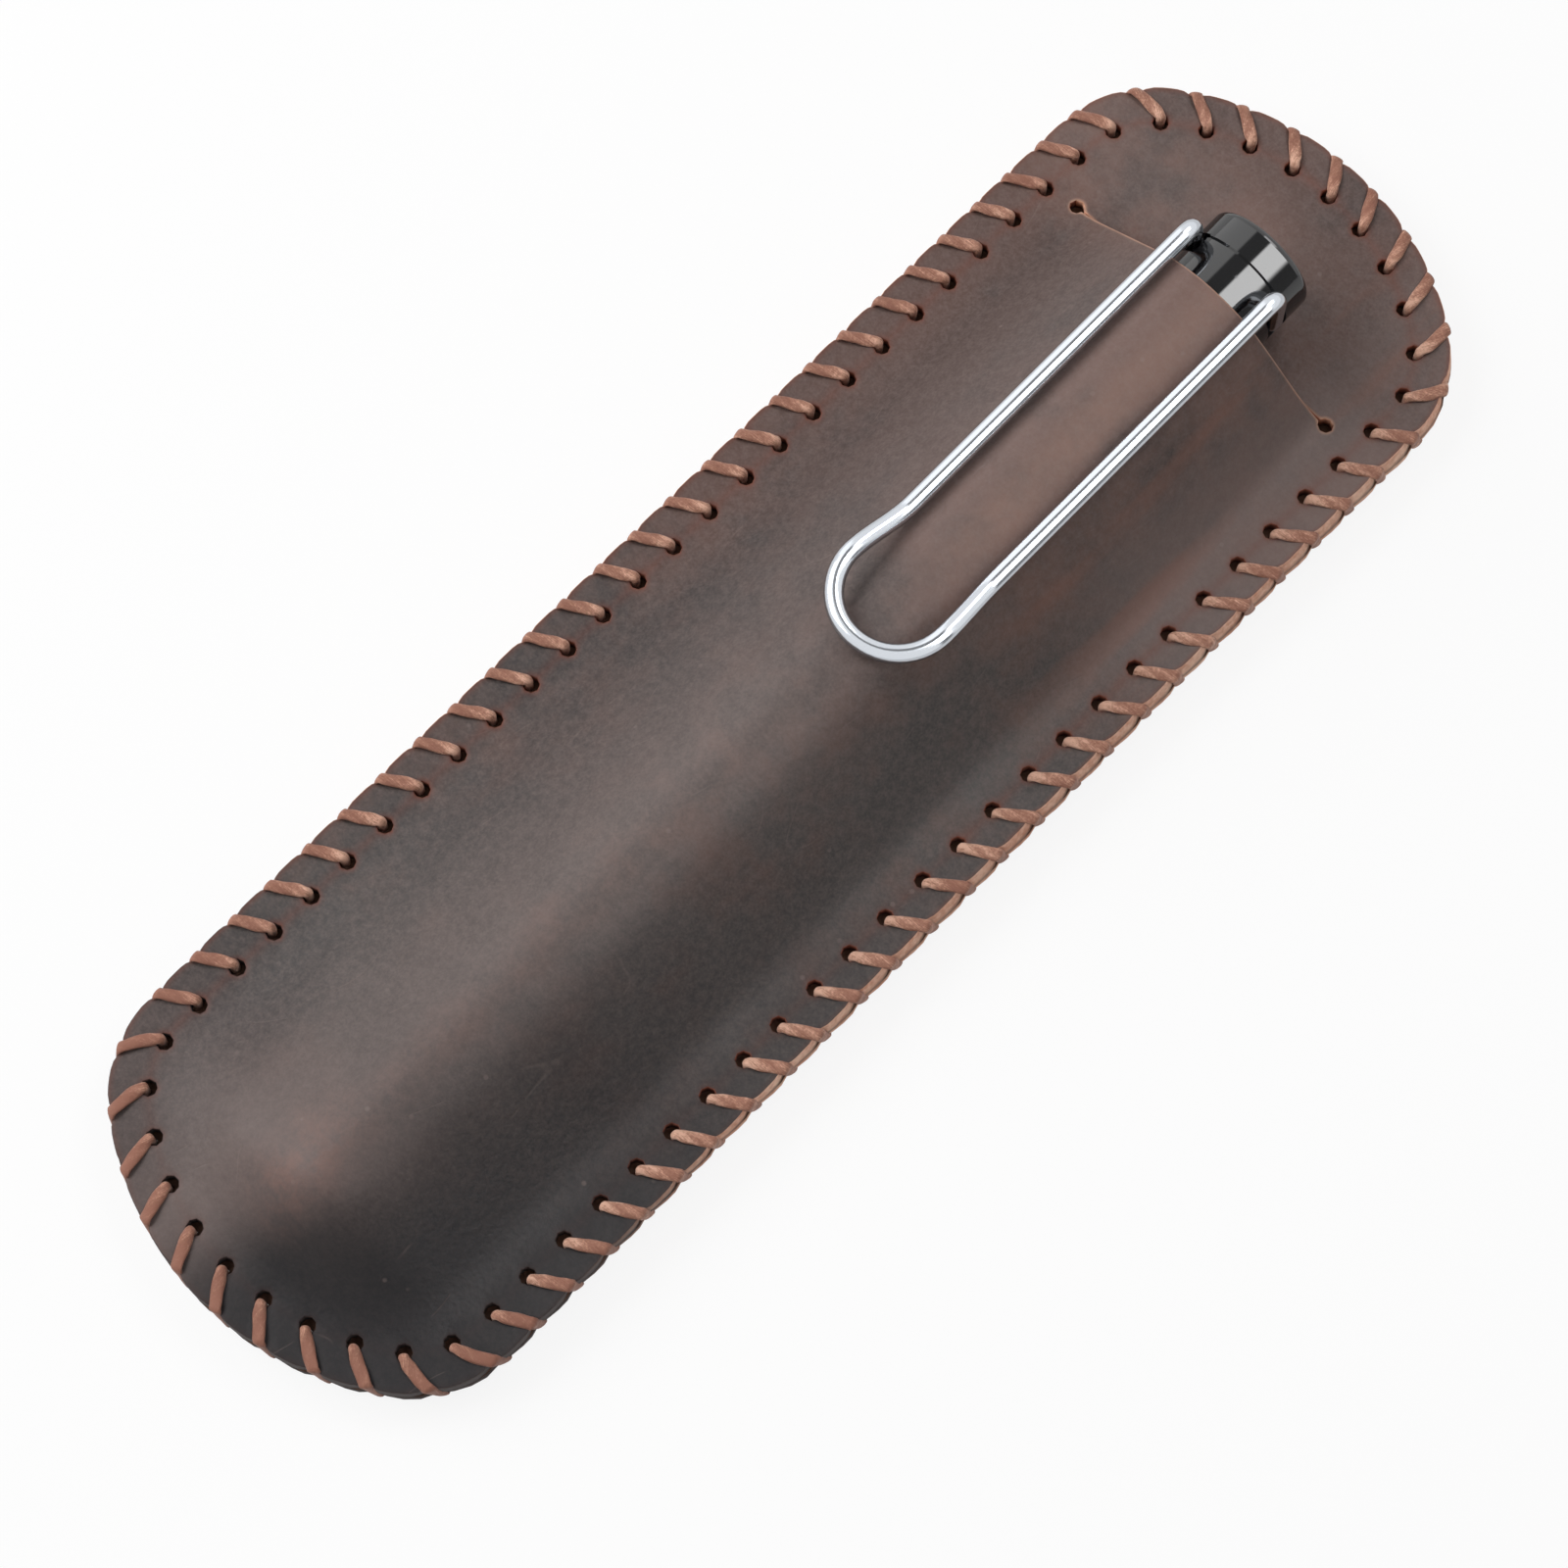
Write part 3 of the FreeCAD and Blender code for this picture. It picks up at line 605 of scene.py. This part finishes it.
def grainFinish(name):
    material, dye, shader = newFinish(name, {"IOR": 1.4, "Specular IOR Level": 0.28})
    place = dye.add("ShaderNodeTexCoord", out="Object")
    across, along = planPlace(place)
    leftward = across * -1.0
    downward = along * -1.0
    scale = leather["scale"]

    def band(value, middle, inner, outer):
        # 1 within inner of the middle, 0 beyond outer
        return 1.0 - abs(value - middle).smooth(inner, outer)

    def upTo(value, low, high):
        return 1.0 - value.smooth(low, high)

    # body colour: warmer towards the mouth, clouded; lighter on the left and darker on the right flank, which
    # is painted light from the left side; places below are in mm
    high = (along - across.smooth(6, 16) * 35 + leftward.smooth(8, 18) * 25).smooth(-45, 50)
    mottle = place.cloud(scale["mottle"], 5.0, 0.55)
    patch = place.cloud(scale["patch"], 4.0, 0.6)
    streaks = place.drawn((1.0, 0.2, 1.0)).cloud(scale["streaks"], 3.0)
    body = high * 0.8 + (mottle - 0.5) * 1.5 + (patch - 0.5) * 1.1 + (streaks - 0.5) * 0.8
    colour = body.smooth(0.0, 1.0).tint(leather["cool"], leather["warm"])
    shade = (mottle * 0.55 + patch * 0.25 + streaks * 0.2).smooth(0.34, 0.52)
    colour = (0.4 - shade * 0.4).tint(colour, leather["dark"])
    # darker regions: painted shade on the lower right, the right flank and the left flank; painted shadows on
    # the upper right beside the cap and under the clip's bow; the lower left, both ends and the heel are
    # simply darker
    # painted shade on the right flank, deepening towards the lower right
    lowRight = (across * 0.9 - along * 0.6 + (mottle - 0.5) * 20).smooth(6, 52)
    corner = (across - along * 0.5).smooth(36, 46)
    # painted shadow of the cap and the raised mouth on the flap right of them
    highRight = (across + (along - 60) * 0.4 + (mottle - 0.5) * 12).smooth(1, 16) * along.smooth(52, 62)
    # painted shade on the left flank, keeping it darker than the painted sheen along the ridge
    left = leftward.smooth(1, 7) * (1.0 - leftward.smooth(15, 19) * 0.4)
    bottom = downward.smooth(62, 72) * across.smooth(-8, 4)
    regions = {
        "lowRight": lowRight,
        "highRight": highRight,
        # painted shade on the right flank
        "flank": band(across, 11, 2, 8) * upTo(along, 0, 50),
        "left": left * along.smooth(-64, -14) * upTo(along, 50, 60),
        "lowLeft": leftward.smooth(8, 14) * downward.smooth(44, 62),
        "bottom": bottom,
        # painted shadow under the clip's bow
        "underBow": band(along, 3, 2, 7) * band(across, 1, 4, 9),
        "topEnd": along.smooth(66, 73) * upTo(across, 2, 9),
        "heel": band(along, -61, 3, 8) * upTo(across, 5, 11),
    }
    darken = sum(region * leather["darkShare"][key] for key, region in regions.items())
    colour = darken.tint(colour, leather["dark"])
    # lighter regions: a painted sheen along the ridge, partly rubbed wear; painted light on the toe, the
    # upper left corner and the upper right flank
    regions = {
        "ridge": band(across, -3, 1, 15) * upTo(along, 48, 60) * (1.0 - bottom) * (0.6 + patch * 0.8),
        "toe": downward.smooth(50, 66) * upTo(across - (along + 66) * 0.6, -2, 6),
        "highLeft": along.smooth(56, 62) * (1.0 - highRight) * (1.0 - along.smooth(64, 74) * 0.6),
        "highFlank": across.smooth(9, 15) * along.smooth(16, 34) * (1.0 - along.smooth(56, 62) * 0.5),
    }
    wornAndLitMix = sum(region * leather["wornAndLitShare"][key] for key, region in regions.items())
    colour = wornAndLitMix.tint(colour, leather["wornAndLit"])
    tan = band(across, 3.4, 0.6, 3.6) * along.smooth(10, 26) * upTo(along, 56, 57)
    colour = (tan * (0.2 + patch * 0.25)).tint(colour, leather["tan"])
    # fine pores and grain, quieter in the dark regions
    inputs = {"Vector": place, "Scale": scale["pores"], "Smoothness": 0.6}
    pores = place.add("ShaderNodeTexVoronoi", {"feature": "SMOOTH_F1"}, inputs)
    fine = place.cloud(scale["fine"], 3.0, 0.6)
    grain = place.cloud(scale["grain"], 3.0, 0.6)
    grey = (fine - 0.5) * 0.75 + (grain - 0.5) * 0.75 + 0.5
    quiet = (lowRight * 0.6 + bottom * 0.4 + corner * 0.3).smooth(0.0, 1.0)
    colour = (grey.smooth(0.15, 0.95) * 0.34 * (1.0 - quiet * 0.85)).tint(colour, leather["pale"])
    # reddish rubs: along the upper right flank, along the ridge and on the toe
    scuff = place.drawn((1.0, 0.13, 1.0)).cloud(scale["scuffs"], 5.0).smooth(0.5, 0.68)
    streak = band(across - along * 0.03, 1.6, 0.4, 3.4) * along.smooth(-72, -64) * upTo(along, -24, 6)
    toeRub = band(across, -1, 1, 6) * downward.smooth(54, 62) * upTo(downward, 66, 71)
    broken = (patch + grain * 0.6).smooth(0.5, 1.1)
    regions = {
        "scuff": scuff * across.smooth(4, 10) * along.smooth(8, 30),
        "streak": streak * broken,
        "toeRub": toeRub * broken,
    }
    blush = sum(region * leather["blushShare"][key] for key, region in regions.items())
    colour = blush.tint(colour, leather["blush"])
    # hairline scratches: thin contours of slow noise, broken up; pale specks between them
    turns = place.drawn((1.0, 0.35, 1.0)).cloud(scale["hairs"], 1.0) * leather["hairCount"]
    hair = turns.sum("PINGPONG", turns, 0.5)
    gaps = place.cloud(scale["hairGaps"], 2.0, 0.55)
    scratch = upTo(hair, 0.0, leather["hairWidth"]) * gaps.smooth(0.56, 0.64)
    specks = place.add("ShaderNodeTexVoronoi", None, {"Vector": place, "Scale": scale["specks"]})
    speck = upTo(specks, 0.05, 0.11) * place.cloud(scale["speckGaps"], 2.0, 0.55).smooth(0.5, 0.6)
    colour = (scratch * 0.16 + speck * 0.3).tint(colour, leather["pale"])
    # rubbed red at the holes, between them and along the edge
    rub = (dye.layer("wear") * (0.55 + patch * 0.7)).smooth(0.12, 0.95)
    colour = (rub * (0.8 - lowRight * 0.75)).tint(colour, leather["red"])
    # the slit's lips and the rims of its two stop holes are rubbed to the leather's own colour
    lips = dye.layer("lip").smooth(0.35, 0.85)
    flat = across.add("ShaderNodeCombineXYZ", None, {0: abs(across), 1: along})
    stop = (pocket["slitHalf"], pocket["slitY"], 0.0)
    toStop = flat.add("ShaderNodeVectorMath", {"operation": "DISTANCE"}, {0: flat, 1: stop}, 1)
    bare = lips * (0.4 + patch * 0.8) + upTo(toStop, 0.7, 1.2) * 0.8
    colour = bare.smooth(0.0, 1.1).tint(colour, leather["lip"])
    height = pores * 0.5 + fine * 0.35 + grain * 0.3 + patch * 0.6 - scratch * 0.25
    rough = 0.5 + (mottle - 0.5) * 0.22 + (fine - 0.5) * 0.16 + rub * 0.16 + scratch * 0.1
    wire(shader, {"Base Color": colour, "Roughness": rough, "Normal": height.bump(0.6, 0.0001)})
    return material


def rawFinish(name, light, deep, scale, rough, dyed=None):
    # leather without its grain: the flesh side, or with a dye the cut edge
    material, dye, shader = newFinish(name, {"IOR": 1.4})
    place = dye.add("ShaderNodeTexCoord", out="Object")
    fibre = place.cloud(scale, 5.0, 0.65)
    blotch = place.cloud(scale * 0.12, 3.0)
    colour = (fibre * 0.6 + blotch * 0.5).smooth(0.35, 0.75).tint(deep, light)
    if dyed:
        # reddish in the stitch holes, dyed dark round the lower end and along the seam
        along = planPlace(place)[1]
        seam = dye.layer("seam").smooth(0.6, 0.95)
        inset = dye.layer("inset")
        wall = inset.smooth(1, 2) * (1.0 - inset.smooth(8, 20))
        colour = (wall * leather["holeTint"]).tint(colour, leather["red"])
        colour = (1.0 - along.smooth(-54, -30) + seam * leather["seamTint"]).tint(colour, dyed)
    uneven = rough + (fibre - 0.5) * 0.15
    wire(shader, {"Base Color": colour, "Roughness": uneven, "Normal": (fibre + blotch).bump(0.6, 0.00012)})
    return material


grain = grainFinish("waxedLeather")
cutEdge = rawFinish("cutEdge", leather["edge"], leather["edgeDark"], 1500.0, 0.72, leather["edgeDyed"])
fleshSide = rawFinish("fleshSide", leather["flesh"], leather["fleshDark"], 900.0, 0.85)

frontSheet = panelSheet(hand["columnsFront"], hand["insetsFront"], hand["holeFront"], True)
dressPanel(frontSheet, frontTop, frontUnder, hand["frontLag"], True)
frontPanel = newPiece("frontLeather", frontSheet, (grain, cutEdge, fleshSide))
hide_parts("front_panel")
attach(frontPanel, "sleeve")

backSheet = panelSheet(hand["columnsBack"], hand["insetsBack"], hand["holeBack"], False)
dressPanel(backSheet, backTop, backUnder, hand["backLag"], False)
backPanel = newPiece("backLeather", backSheet, (grain, cutEdge, fleshSide))
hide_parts("back_panel")
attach(backPanel, "sleeve")
print("leather done")


def smoothRoute(corners, resolution):
    # points of a line through the (place, bend) corners, rounded by a spline
    knots = [corners[0][0]]
    for (before, _), (here, bend), (after, _) in zip(corners, corners[1:], corners[2:]):
        knots.append(here + (before - here).normalized() * bend)
        knots.append(here)
        knots.append(here + (after - here).normalized() * bend)
    knots.append(corners[-1][0])
    curve = bpy.data.curves.new("route", "CURVE")
    curve.dimensions = "3D"
    curve.resolution_u = resolution
    spline = curve.splines.new("NURBS")
    spline.points.add(len(knots) - 1)
    for point, knot in zip(spline.points, knots):
        point.co = (*knot, 1.0)
    spline.order_u = 3
    spline.use_endpoint_u = True
    guide = bpy.data.objects.new("route", curve)
    mesh = bpy.data.meshes.new_from_object(guide)
    points = [v.co.copy() for v in mesh.vertices]
    bpy.data.objects.remove(guide)
    bpy.data.curves.remove(curve)
    bpy.data.meshes.remove(mesh)
    return points


# Waxed thread: one flat twisted strand whipped over the edge, in mm
thread = {
    "halfWidth": 0.64, "halfHeight": 0.26, "inHoleWidth": 0.5, "inHoleHeight": 0.42, "holeSide": 0.44,
    "sides": 14, "plies": 3, "plyDepth": 0.035, "plyLength": 2.6,
    "holeBend": 0.6, "edgeBend": 0.6, "sunk": 0.13, "rise": 0.15, "resolution": 5, "holeReach": 0.5,
    "lean": 0.16, "leanTurn": 2.4, "leanReach": 3.5, "swell": 0.07, "swellStep": (7.7, 0.3), "swellSeed": 1.0,
    "light": ink(226, 180, 156), "base": ink(198, 146, 122), "deep": ink(140, 92, 74),
    "plyTone": 0.09, "fibreTone": 1.7, "fuzzTone": 0.6, "blotchTone": 0.6, "paleTone": 0.4,
}


def stitchRoute():
    # one stitch on the flat: along the seam, in from the edge, height
    high = rimTop + thread["rise"]
    low = sleeve["rimRise"] - thread["rise"]
    outer = hand["edgePull"] - thread["halfHeight"] + thread["sunk"]
    inner = sleeve["holeInset"] - thread["holeSide"]
    corners = []
    for lap in (-1, 0, 1):
        start = lap * pitch
        corners += [
            (Vector((start, inner, high)), thread["holeBend"]),
            (Vector((start, inner, low)), thread["holeBend"]),
            (Vector((start + hand["backLag"] * pitch, outer, low)), thread["edgeBend"]),
            (Vector((start + hand["frontLag"] * pitch, outer, high)), thread["edgeBend"]),
        ]
    points = smoothRoute(corners[2:11], thread["resolution"])
    middle = (high + low) / 2

    def inHole(x):
        # the first point half-way down the hole at x
        near = [p.y > inner / 2 and abs(p.x - x) < thread["holeReach"] for p in points]
        return next(i for i, p in enumerate(points) if near[i] and p.z <= middle)

    return points[inHole(0.0):inHole(pitch)]


def runLengths(route):
    # length of thread from the start of a stitch to each of its points, and to the next stitch
    lengths = [0.0]
    for a, b in zip(route, route[1:] + [route[0] + Vector((pitch, 0, 0))]):
        lengths.append(lengths[-1] + (b - a).length)
    return lengths


def sewThread(materials):
    # a tube with twisted plies along all the stitches, laid round the edge and joined to its start
    route = stitchRoute()
    lengths = runLengths(route)
    steps = len(route)
    sides = thread["sides"]
    stitches = sleeve["stitches"]
    total = steps * stitches
    bm = bmesh.new()
    uv = bm.loops.layers.uv.new("strand")
    bmesh.ops.create_grid(bm, x_segments=total, y_segments=sides, size=0.5)
    grid = {}
    heart = Vector((0.0, sleeve["holeInset"] / 2, seamZ))
    lap = Vector((pitch, 0, 0))
    turns = round(lengths[-1] * stitches / thread["plyLength"])
    for v in bm.verts:
        column = round((v.co.x + 0.5) * total)
        row = round((v.co.y + 0.5) * sides)
        grid[column, row] = v
    for face in bm.faces:
        for loop in face.loops:
            column = round((loop.vert.co.x + 0.5) * total)
            run = column // steps * lengths[-1] + lengths[column % steps]
            loop[uv].uv = (run, loop.vert.co.y + 0.5)
    for column in range(total + 1):
        stitch, k = divmod(column, steps)
        number = stitch % stitches
        here = route[k]
        after = route[(k + 1) % steps] + (lap if k + 1 == steps else Vector())
        before = route[k - 1] - (lap if k == 0 else Vector())
        tangent = (after - before).normalized()
        out = here - heart
        out.x = 0.0
        out = (out - tangent * out.dot(tangent)).normalized()
        wide = tangent.cross(out)
        run = number * lengths[-1] + lengths[k]
        s = here.x + (stitch + sleeve["firstStitch"]) * pitch
        lean = thread["lean"] * math.sin(number * thread["leanTurn"])
        lean *= max(0.0, 1 - here.y / thread["leanReach"])
        spot, outward = edgeSpot(s + lean + handDrift(s, here.y), here.y)
        spot.z = here.z + curlAt(spot.x, spot.y)
        side = Vector((outward.y, -outward.x, 0.0))
        stepStitch, stepPoint = thread["swellStep"]
        uneven = noise.noise(Vector((number * stepStitch, k * stepPoint, thread["swellSeed"])))
        swell = 1 + thread["swell"] * uneven
        inHole = bell(here.y - sleeve["holeInset"] + thread["holeSide"], thread["holeReach"])
        w = (thread["halfWidth"] * (1 - inHole) + thread["inHoleWidth"] * inHole) * swell
        h = (thread["halfHeight"] * (1 - inHole) + thread["inHoleHeight"] * inHole) * swell
        twist = 2 * math.pi * turns * run / (lengths[-1] * stitches)
        for row in range(sides + 1):
            angle = 2 * math.pi * row / sides
            lobe = 1 + thread["plyDepth"] * math.cos(thread["plies"] * (angle - twist / thread["plies"]))
            flat = wide * (math.cos(angle) * w * lobe) + out * (math.sin(angle) * h * lobe)
            offset = side * flat.x - outward * flat.y + Vector((0, 0, flat.z))
            grid[column, row].co = spot + offset
    ends = {grid[total, row]: grid[0, row] for row in range(sides + 1)}
    bmesh.ops.weld_verts(bm, targetmap=ends)
    bmesh.ops.weld_verts(bm, targetmap={grid[c, sides]: grid[c, 0] for c in range(total)})
    bmesh.ops.recalc_face_normals(bm, faces=bm.faces)
    return newPiece("edgeThread", bm, materials)


def threadFinish(name):
    material, dye, shader = newFinish(name, {"IOR": 1.45, "Sheen Weight": 0.15, "Sheen Roughness": 0.4})
    strand = dye.add("ShaderNodeUVMap", {"uv_map": "strand"})
    run, around, _ = strand.axes()
    slant = run / thread["plyLength"] - around * thread["plies"]
    turn = slant * (2 * math.pi)
    ply = turn.sum("COSINE", turn)
    warp = strand.add("ShaderNodeCombineXYZ", None, {0: run * 0.5, 1: slant * 9.0})
    fibres = warp.cloud(2.2, 4.0, 0.7)
    place = dye.add("ShaderNodeTexCoord", out="Object")
    fuzz = place.cloud(4200.0, 2.0)
    blotch = place.cloud(230.0, 2.0)
    # paler where a stitch comes out of its hole, and on the right side as painted light where that edge lies
    # in shade; redder at the edge and the lower end
    lap = run / runLengths(stitchRoute())[-1]
    phase = lap.sum("FRACT", lap)
    across, along = planPlace(place)
    pale = phase.smooth(0.68, 0.92) - 1.0 + along.smooth(-70, -40) * (0.55 + across.smooth(8, 20) * 0.25)
    share = 0.5 + ply * thread["plyTone"] + (fibres - 0.5) * thread["fibreTone"]
    share = share + (fuzz - 0.5) * thread["fuzzTone"] + (blotch - 0.5) * thread["blotchTone"]
    share = (share + pale * thread["paleTone"]).smooth(0.1, 0.9)
    colour = share.tint(thread["deep"], thread["base"])
    colour = share.smooth(0.55, 1.0).tint(colour, thread["light"])
    height = ply * 0.25 + fibres * 0.9 + fuzz * 0.4
    rough = 0.62 + (fibres - 0.5) * 0.2
    wire(shader, {"Base Color": colour, "Roughness": rough, "Normal": height.bump(0.7, 0.00012)})
    return material


edgeThread = sewThread((threadFinish("waxedThread"),))
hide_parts("stitching")
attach(edgeThread, "sleeve")
print("thread done")


# Pen finishes
pen = {
    "black": ink(16, 16, 18), "blackSoft": ink(30, 30, 32), "grip": ink(24, 24, 25),
    "steel": ink(205, 206, 208), "dullSteel": ink(150, 151, 154), "chrome": ink(196, 200, 206),
    "liner": ink(196, 194, 186), "ink": ink(24, 34, 92), "clear": ink(120, 134, 190),
    "dust": 900.0, "lines": 1600.0, "haze": 220.0,
}


def plasticFinish(name, base, dusty, rough, scale, gloss=1.5):
    # moulded plastic with a slight ripple and a little dust
    material, dye, shader = newFinish(name, {"IOR": gloss})
    place = dye.add("ShaderNodeTexCoord", out="Object")
    peel = place.cloud(scale, 2.0)
    dot = place.cloud(pen["dust"], 4.0, 0.7).smooth(0.62, 0.74)
    uneven = rough + dot * 0.12 + (peel - 0.5) * 0.04
    colour = dot.tint(base, dusty)
    wire(shader, {"Base Color": colour, "Roughness": uneven, "Normal": peel.bump(0.12, 0.00002)})
    return material


def metalFinish(name, light, dull, rough, streak):
    # drawn or rolled metal: fine lines along it and a slow haze
    material, dye, shader = newFinish(name, {"Metallic": 1.0})
    place = dye.add("ShaderNodeTexCoord", out="Object")
    lines = place.drawn((1.0, streak, 1.0)).cloud(pen["lines"], 3.0)
    haze = place.cloud(pen["haze"], 3.0)
    share = (lines * 0.5 + haze * 0.5).smooth(0.3, 0.62)
    wire(shader, {"Base Color": share.tint(dull, light), "Roughness": rough + (haze - 0.5) * 0.08})
    return material


glossBlack = plasticFinish("glossBlack", pen["black"], pen["blackSoft"], 0.07, 500.0, 1.62)
satinBlack = plasticFinish("satinBlack", pen["grip"], pen["blackSoft"], 0.32, 1400.0)
linerWhite = plasticFinish("linerPlastic", pen["liner"], pen["clear"], 0.35, 900.0)
inkBlue = plasticFinish("inkCartridge", pen["ink"], pen["clear"], 0.18, 700.0)
chrome = metalFinish("chromeWire", pen["chrome"], pen["chrome"], 0.15, 0.05)
nibSteel = metalFinish("nibSteel", pen["steel"], pen["dullSteel"], 0.2, 0.05)
nodeFinishes = {
    "cap_head": glossBlack, "cap_tube": glossBlack, "barrel": glossBlack,
    "grip_section": satinBlack, "feed": satinBlack, "inner_cap": linerWhite, "cartridge": inkBlue,
    "clutch_ring": nibSteel, "nib": nibSteel,
}
for node, finish in nodeFinishes.items():
    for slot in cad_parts[node].material_slots:
        slot.material = finish
print("pen finishes done")


# Wire clip: one bent wire, in mm along and above the pen's axis, seated in the cap's sides
clip = {
    "radius": 0.95, "pinAt": 4.7, "pinInner": 2.0, "legX": 5.35, "legZ": 7.24, "bowX": 5.9, "bowZ": 9.0,
    "kinkStart": 44.7, "kinkEnd": 50.2, "kinkSoft": 1.5, "end": 57.7, "pinBend": 2.2, "shoulderBend": 3.6,
    "tilt": 2.193, "capEnd": (1.6, 62.8, 11.26),
    "sides": 24, "resolution": 7, "flareSteps": 12, "bowSteps": 28,
}


def flareAt(y, first, last):
    # 0 up to first along the clip, 1 from last
    return soften((-y - first) / (last - first))


def bendWire(materials):
    # pin, shoulder and leg of one side, the bow, and the other side mirrored; the legs kink up near the bow
    turnY = clip["bowX"] + clip["radius"] - clip["end"]
    soft = clip["kinkSoft"]
    half = [
        (Vector((clip["pinInner"], -clip["pinAt"], 0.0)), 0.0),
        (Vector((clip["legX"], -clip["pinAt"], 0.0)), clip["pinBend"]),
        (Vector((clip["legX"], -clip["pinAt"], clip["legZ"])), clip["shoulderBend"]),
        (Vector((clip["legX"], soft - clip["kinkStart"], clip["legZ"])), 0.0),
    ]
    leg = smoothRoute(half, clip["resolution"])
    start = leg[-1].y
    for k in range(1, clip["flareSteps"]):
        y = start + (turnY - start) * k / clip["flareSteps"]
        flare = flareAt(y, -start, -turnY)
        leg.append(Vector((clip["legX"] + (clip["bowX"] - clip["legX"]) * flare, y, clip["legZ"])))
    bow = []
    for k in range(clip["bowSteps"] + 1):
        angle = math.pi * k / clip["bowSteps"]
        bowY = turnY - clip["bowX"] * math.sin(angle)
        bow.append(Vector((clip["bowX"] * math.cos(angle), bowY, clip["legZ"])))
    points = leg + bow + [Vector((-p.x, p.y, p.z)) for p in reversed(leg)]
    for p in points:
        p.z += (clip["bowZ"] - clip["legZ"]) * flareAt(p.y, -start, clip["kinkEnd"] + soft)
    curve = bpy.data.curves.new("clipWire", "CURVE")
    curve.dimensions = "3D"
    curve.bevel_depth = clip["radius"]
    curve.bevel_resolution = clip["sides"] // 4
    curve.use_fill_caps = True
    spline = curve.splines.new("POLY")
    spline.points.add(len(points) - 1)
    for point, place in zip(spline.points, points):
        point.co = (*place, 1.0)
    guide = bpy.data.objects.new("clipWire", curve)
    mesh = bpy.data.meshes.new_from_object(guide)
    bm = bmesh.new()
    bm.from_mesh(mesh)
    bpy.data.objects.remove(guide)
    bpy.data.curves.remove(curve)
    bpy.data.meshes.remove(mesh)
    lean = Matrix.Translation(clip["capEnd"]) @ Matrix.Rotation(math.radians(clip["tilt"]), 4, "X")
    bmesh.ops.transform(bm, matrix=lean, verts=bm.verts)
    bmesh.ops.recalc_face_normals(bm, faces=bm.faces)
    return newPiece("clipWire", bm, materials)


clipWire = bendWire((chrome,))
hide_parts("clip")
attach(clipWire, "pen_clip")
print("clip done")


# Studio: pale floor, white surround, soft boxes; sizes in metres, power in watts
studio = {
    "floor": ink(244, 244, 244), "floorHalf": 3.0, "floorRough": 0.9, "floorGlow": 0.88, "white": (1.0,) * 4,
    "surround": 1.0, "mirror": 0.4, "fill": 0.27, "ceiling": 1.2,
    "leftPanel": 1.4, "leftSpan": (-0.5, -0.42), "rightPanel": 8.3, "rightSpan": (0.04, 0.12, 0.68, 0.80),
    "darkRoom": 0.3, "rowSpan": (0.02, 0.1, 0.36, 0.44),
    "boxes": (
        ("keyBox", (-0.48, -0.24, 0.46), (0.55, 0.50), 4.2),
        ("topBox", (0.02, 0.42, 0.55), (0.30, 0.30), 1.0),
    ),
}


def softBox(name, place, size, power):
    # a lamp with this face, turned to the origin
    light = bpy.data.lights.new(name, "AREA")
    light.shape = "RECTANGLE"
    light.size = size[0]
    light.size_y = size[1]
    light.energy = power
    lamp = bpy.data.objects.new(name, light)
    lamp.location = place
    lamp.rotation_euler = Vector(place).to_track_quat("Z", "Y").to_euler()
    bpy.context.collection.objects.link(lamp)


def rays(dye, kind):
    # 1 for rays of this kind
    return dye.add("ShaderNodeLightPath", None, None, kind)


def spread(value, span):
    # 1 inside the span, with soft sides
    low, lowFull, highFull, high = span
    return value.smooth(low, lowFull) * (1.0 - value.smooth(highFull, high))


def setFloor():
    bm = bmesh.new()
    bmesh.ops.create_grid(bm, x_segments=1, y_segments=1, size=studio["floorHalf"])
    mesh = bpy.data.meshes.new("floor")
    bm.to_mesh(mesh)
    bm.free()
    floor = bpy.data.objects.new("floor", mesh)
    bpy.context.collection.objects.link(floor)
    plain = {"Base Color": studio["floor"], "Roughness": studio["floorRough"]}
    material, dye, shader = newFinish("paleFloor", plain)
    glow = dye.add("ShaderNodeEmission", None, {"Color": studio["white"], "Strength": 1.0})
    lit = Dye(dye.tree, shader.outputs[0])
    seen = rays(dye, "Is Camera Ray") + rays(dye, "Is Glossy Ray") * studio["mirror"]
    both = dye.add("ShaderNodeMixShader", None, {0: seen * studio["floorGlow"], 1: lit, 2: glow})
    dye.tree.links.new(both.socket, dye.tree.nodes["Material Output"].inputs["Surface"])
    mesh.materials.append(material)


def setStudio():
    setFloor()
    world = bpy.data.worlds.new("studio")
    world.use_nodes = True
    air = Dye(world.node_tree)
    back = world.node_tree.nodes["Background"]
    back.inputs["Color"].default_value = studio["white"]
    toRight, toTop, _ = air.add("ShaderNodeTexCoord", out="Generated").axes()
    # a row of panels over the upper end, which only mirrors see
    row = spread(toTop, studio["rowSpan"])
    rightPanel = spread(toRight, studio["rightSpan"])
    leftPanel = 1.0 - toRight.smooth(*studio["leftSpan"])
    panels = rightPanel * studio["rightPanel"] + leftPanel * studio["leftPanel"] + studio["darkRoom"]
    mirrored = row * (panels - studio["ceiling"]) + (studio["ceiling"] - studio["fill"])
    level = rays(air, "Is Camera Ray") * (studio["surround"] - studio["fill"])
    level = level + rays(air, "Is Glossy Ray") * mirrored + studio["fill"]
    world.node_tree.links.new(level.socket, back.inputs["Strength"])
    bpy.context.scene.world = world
    for name, place, size, power in studio["boxes"]:
        softBox(name, place, size, power)
    bpy.context.scene.view_settings.view_transform = "Standard"


setStudio()
print("studio set")
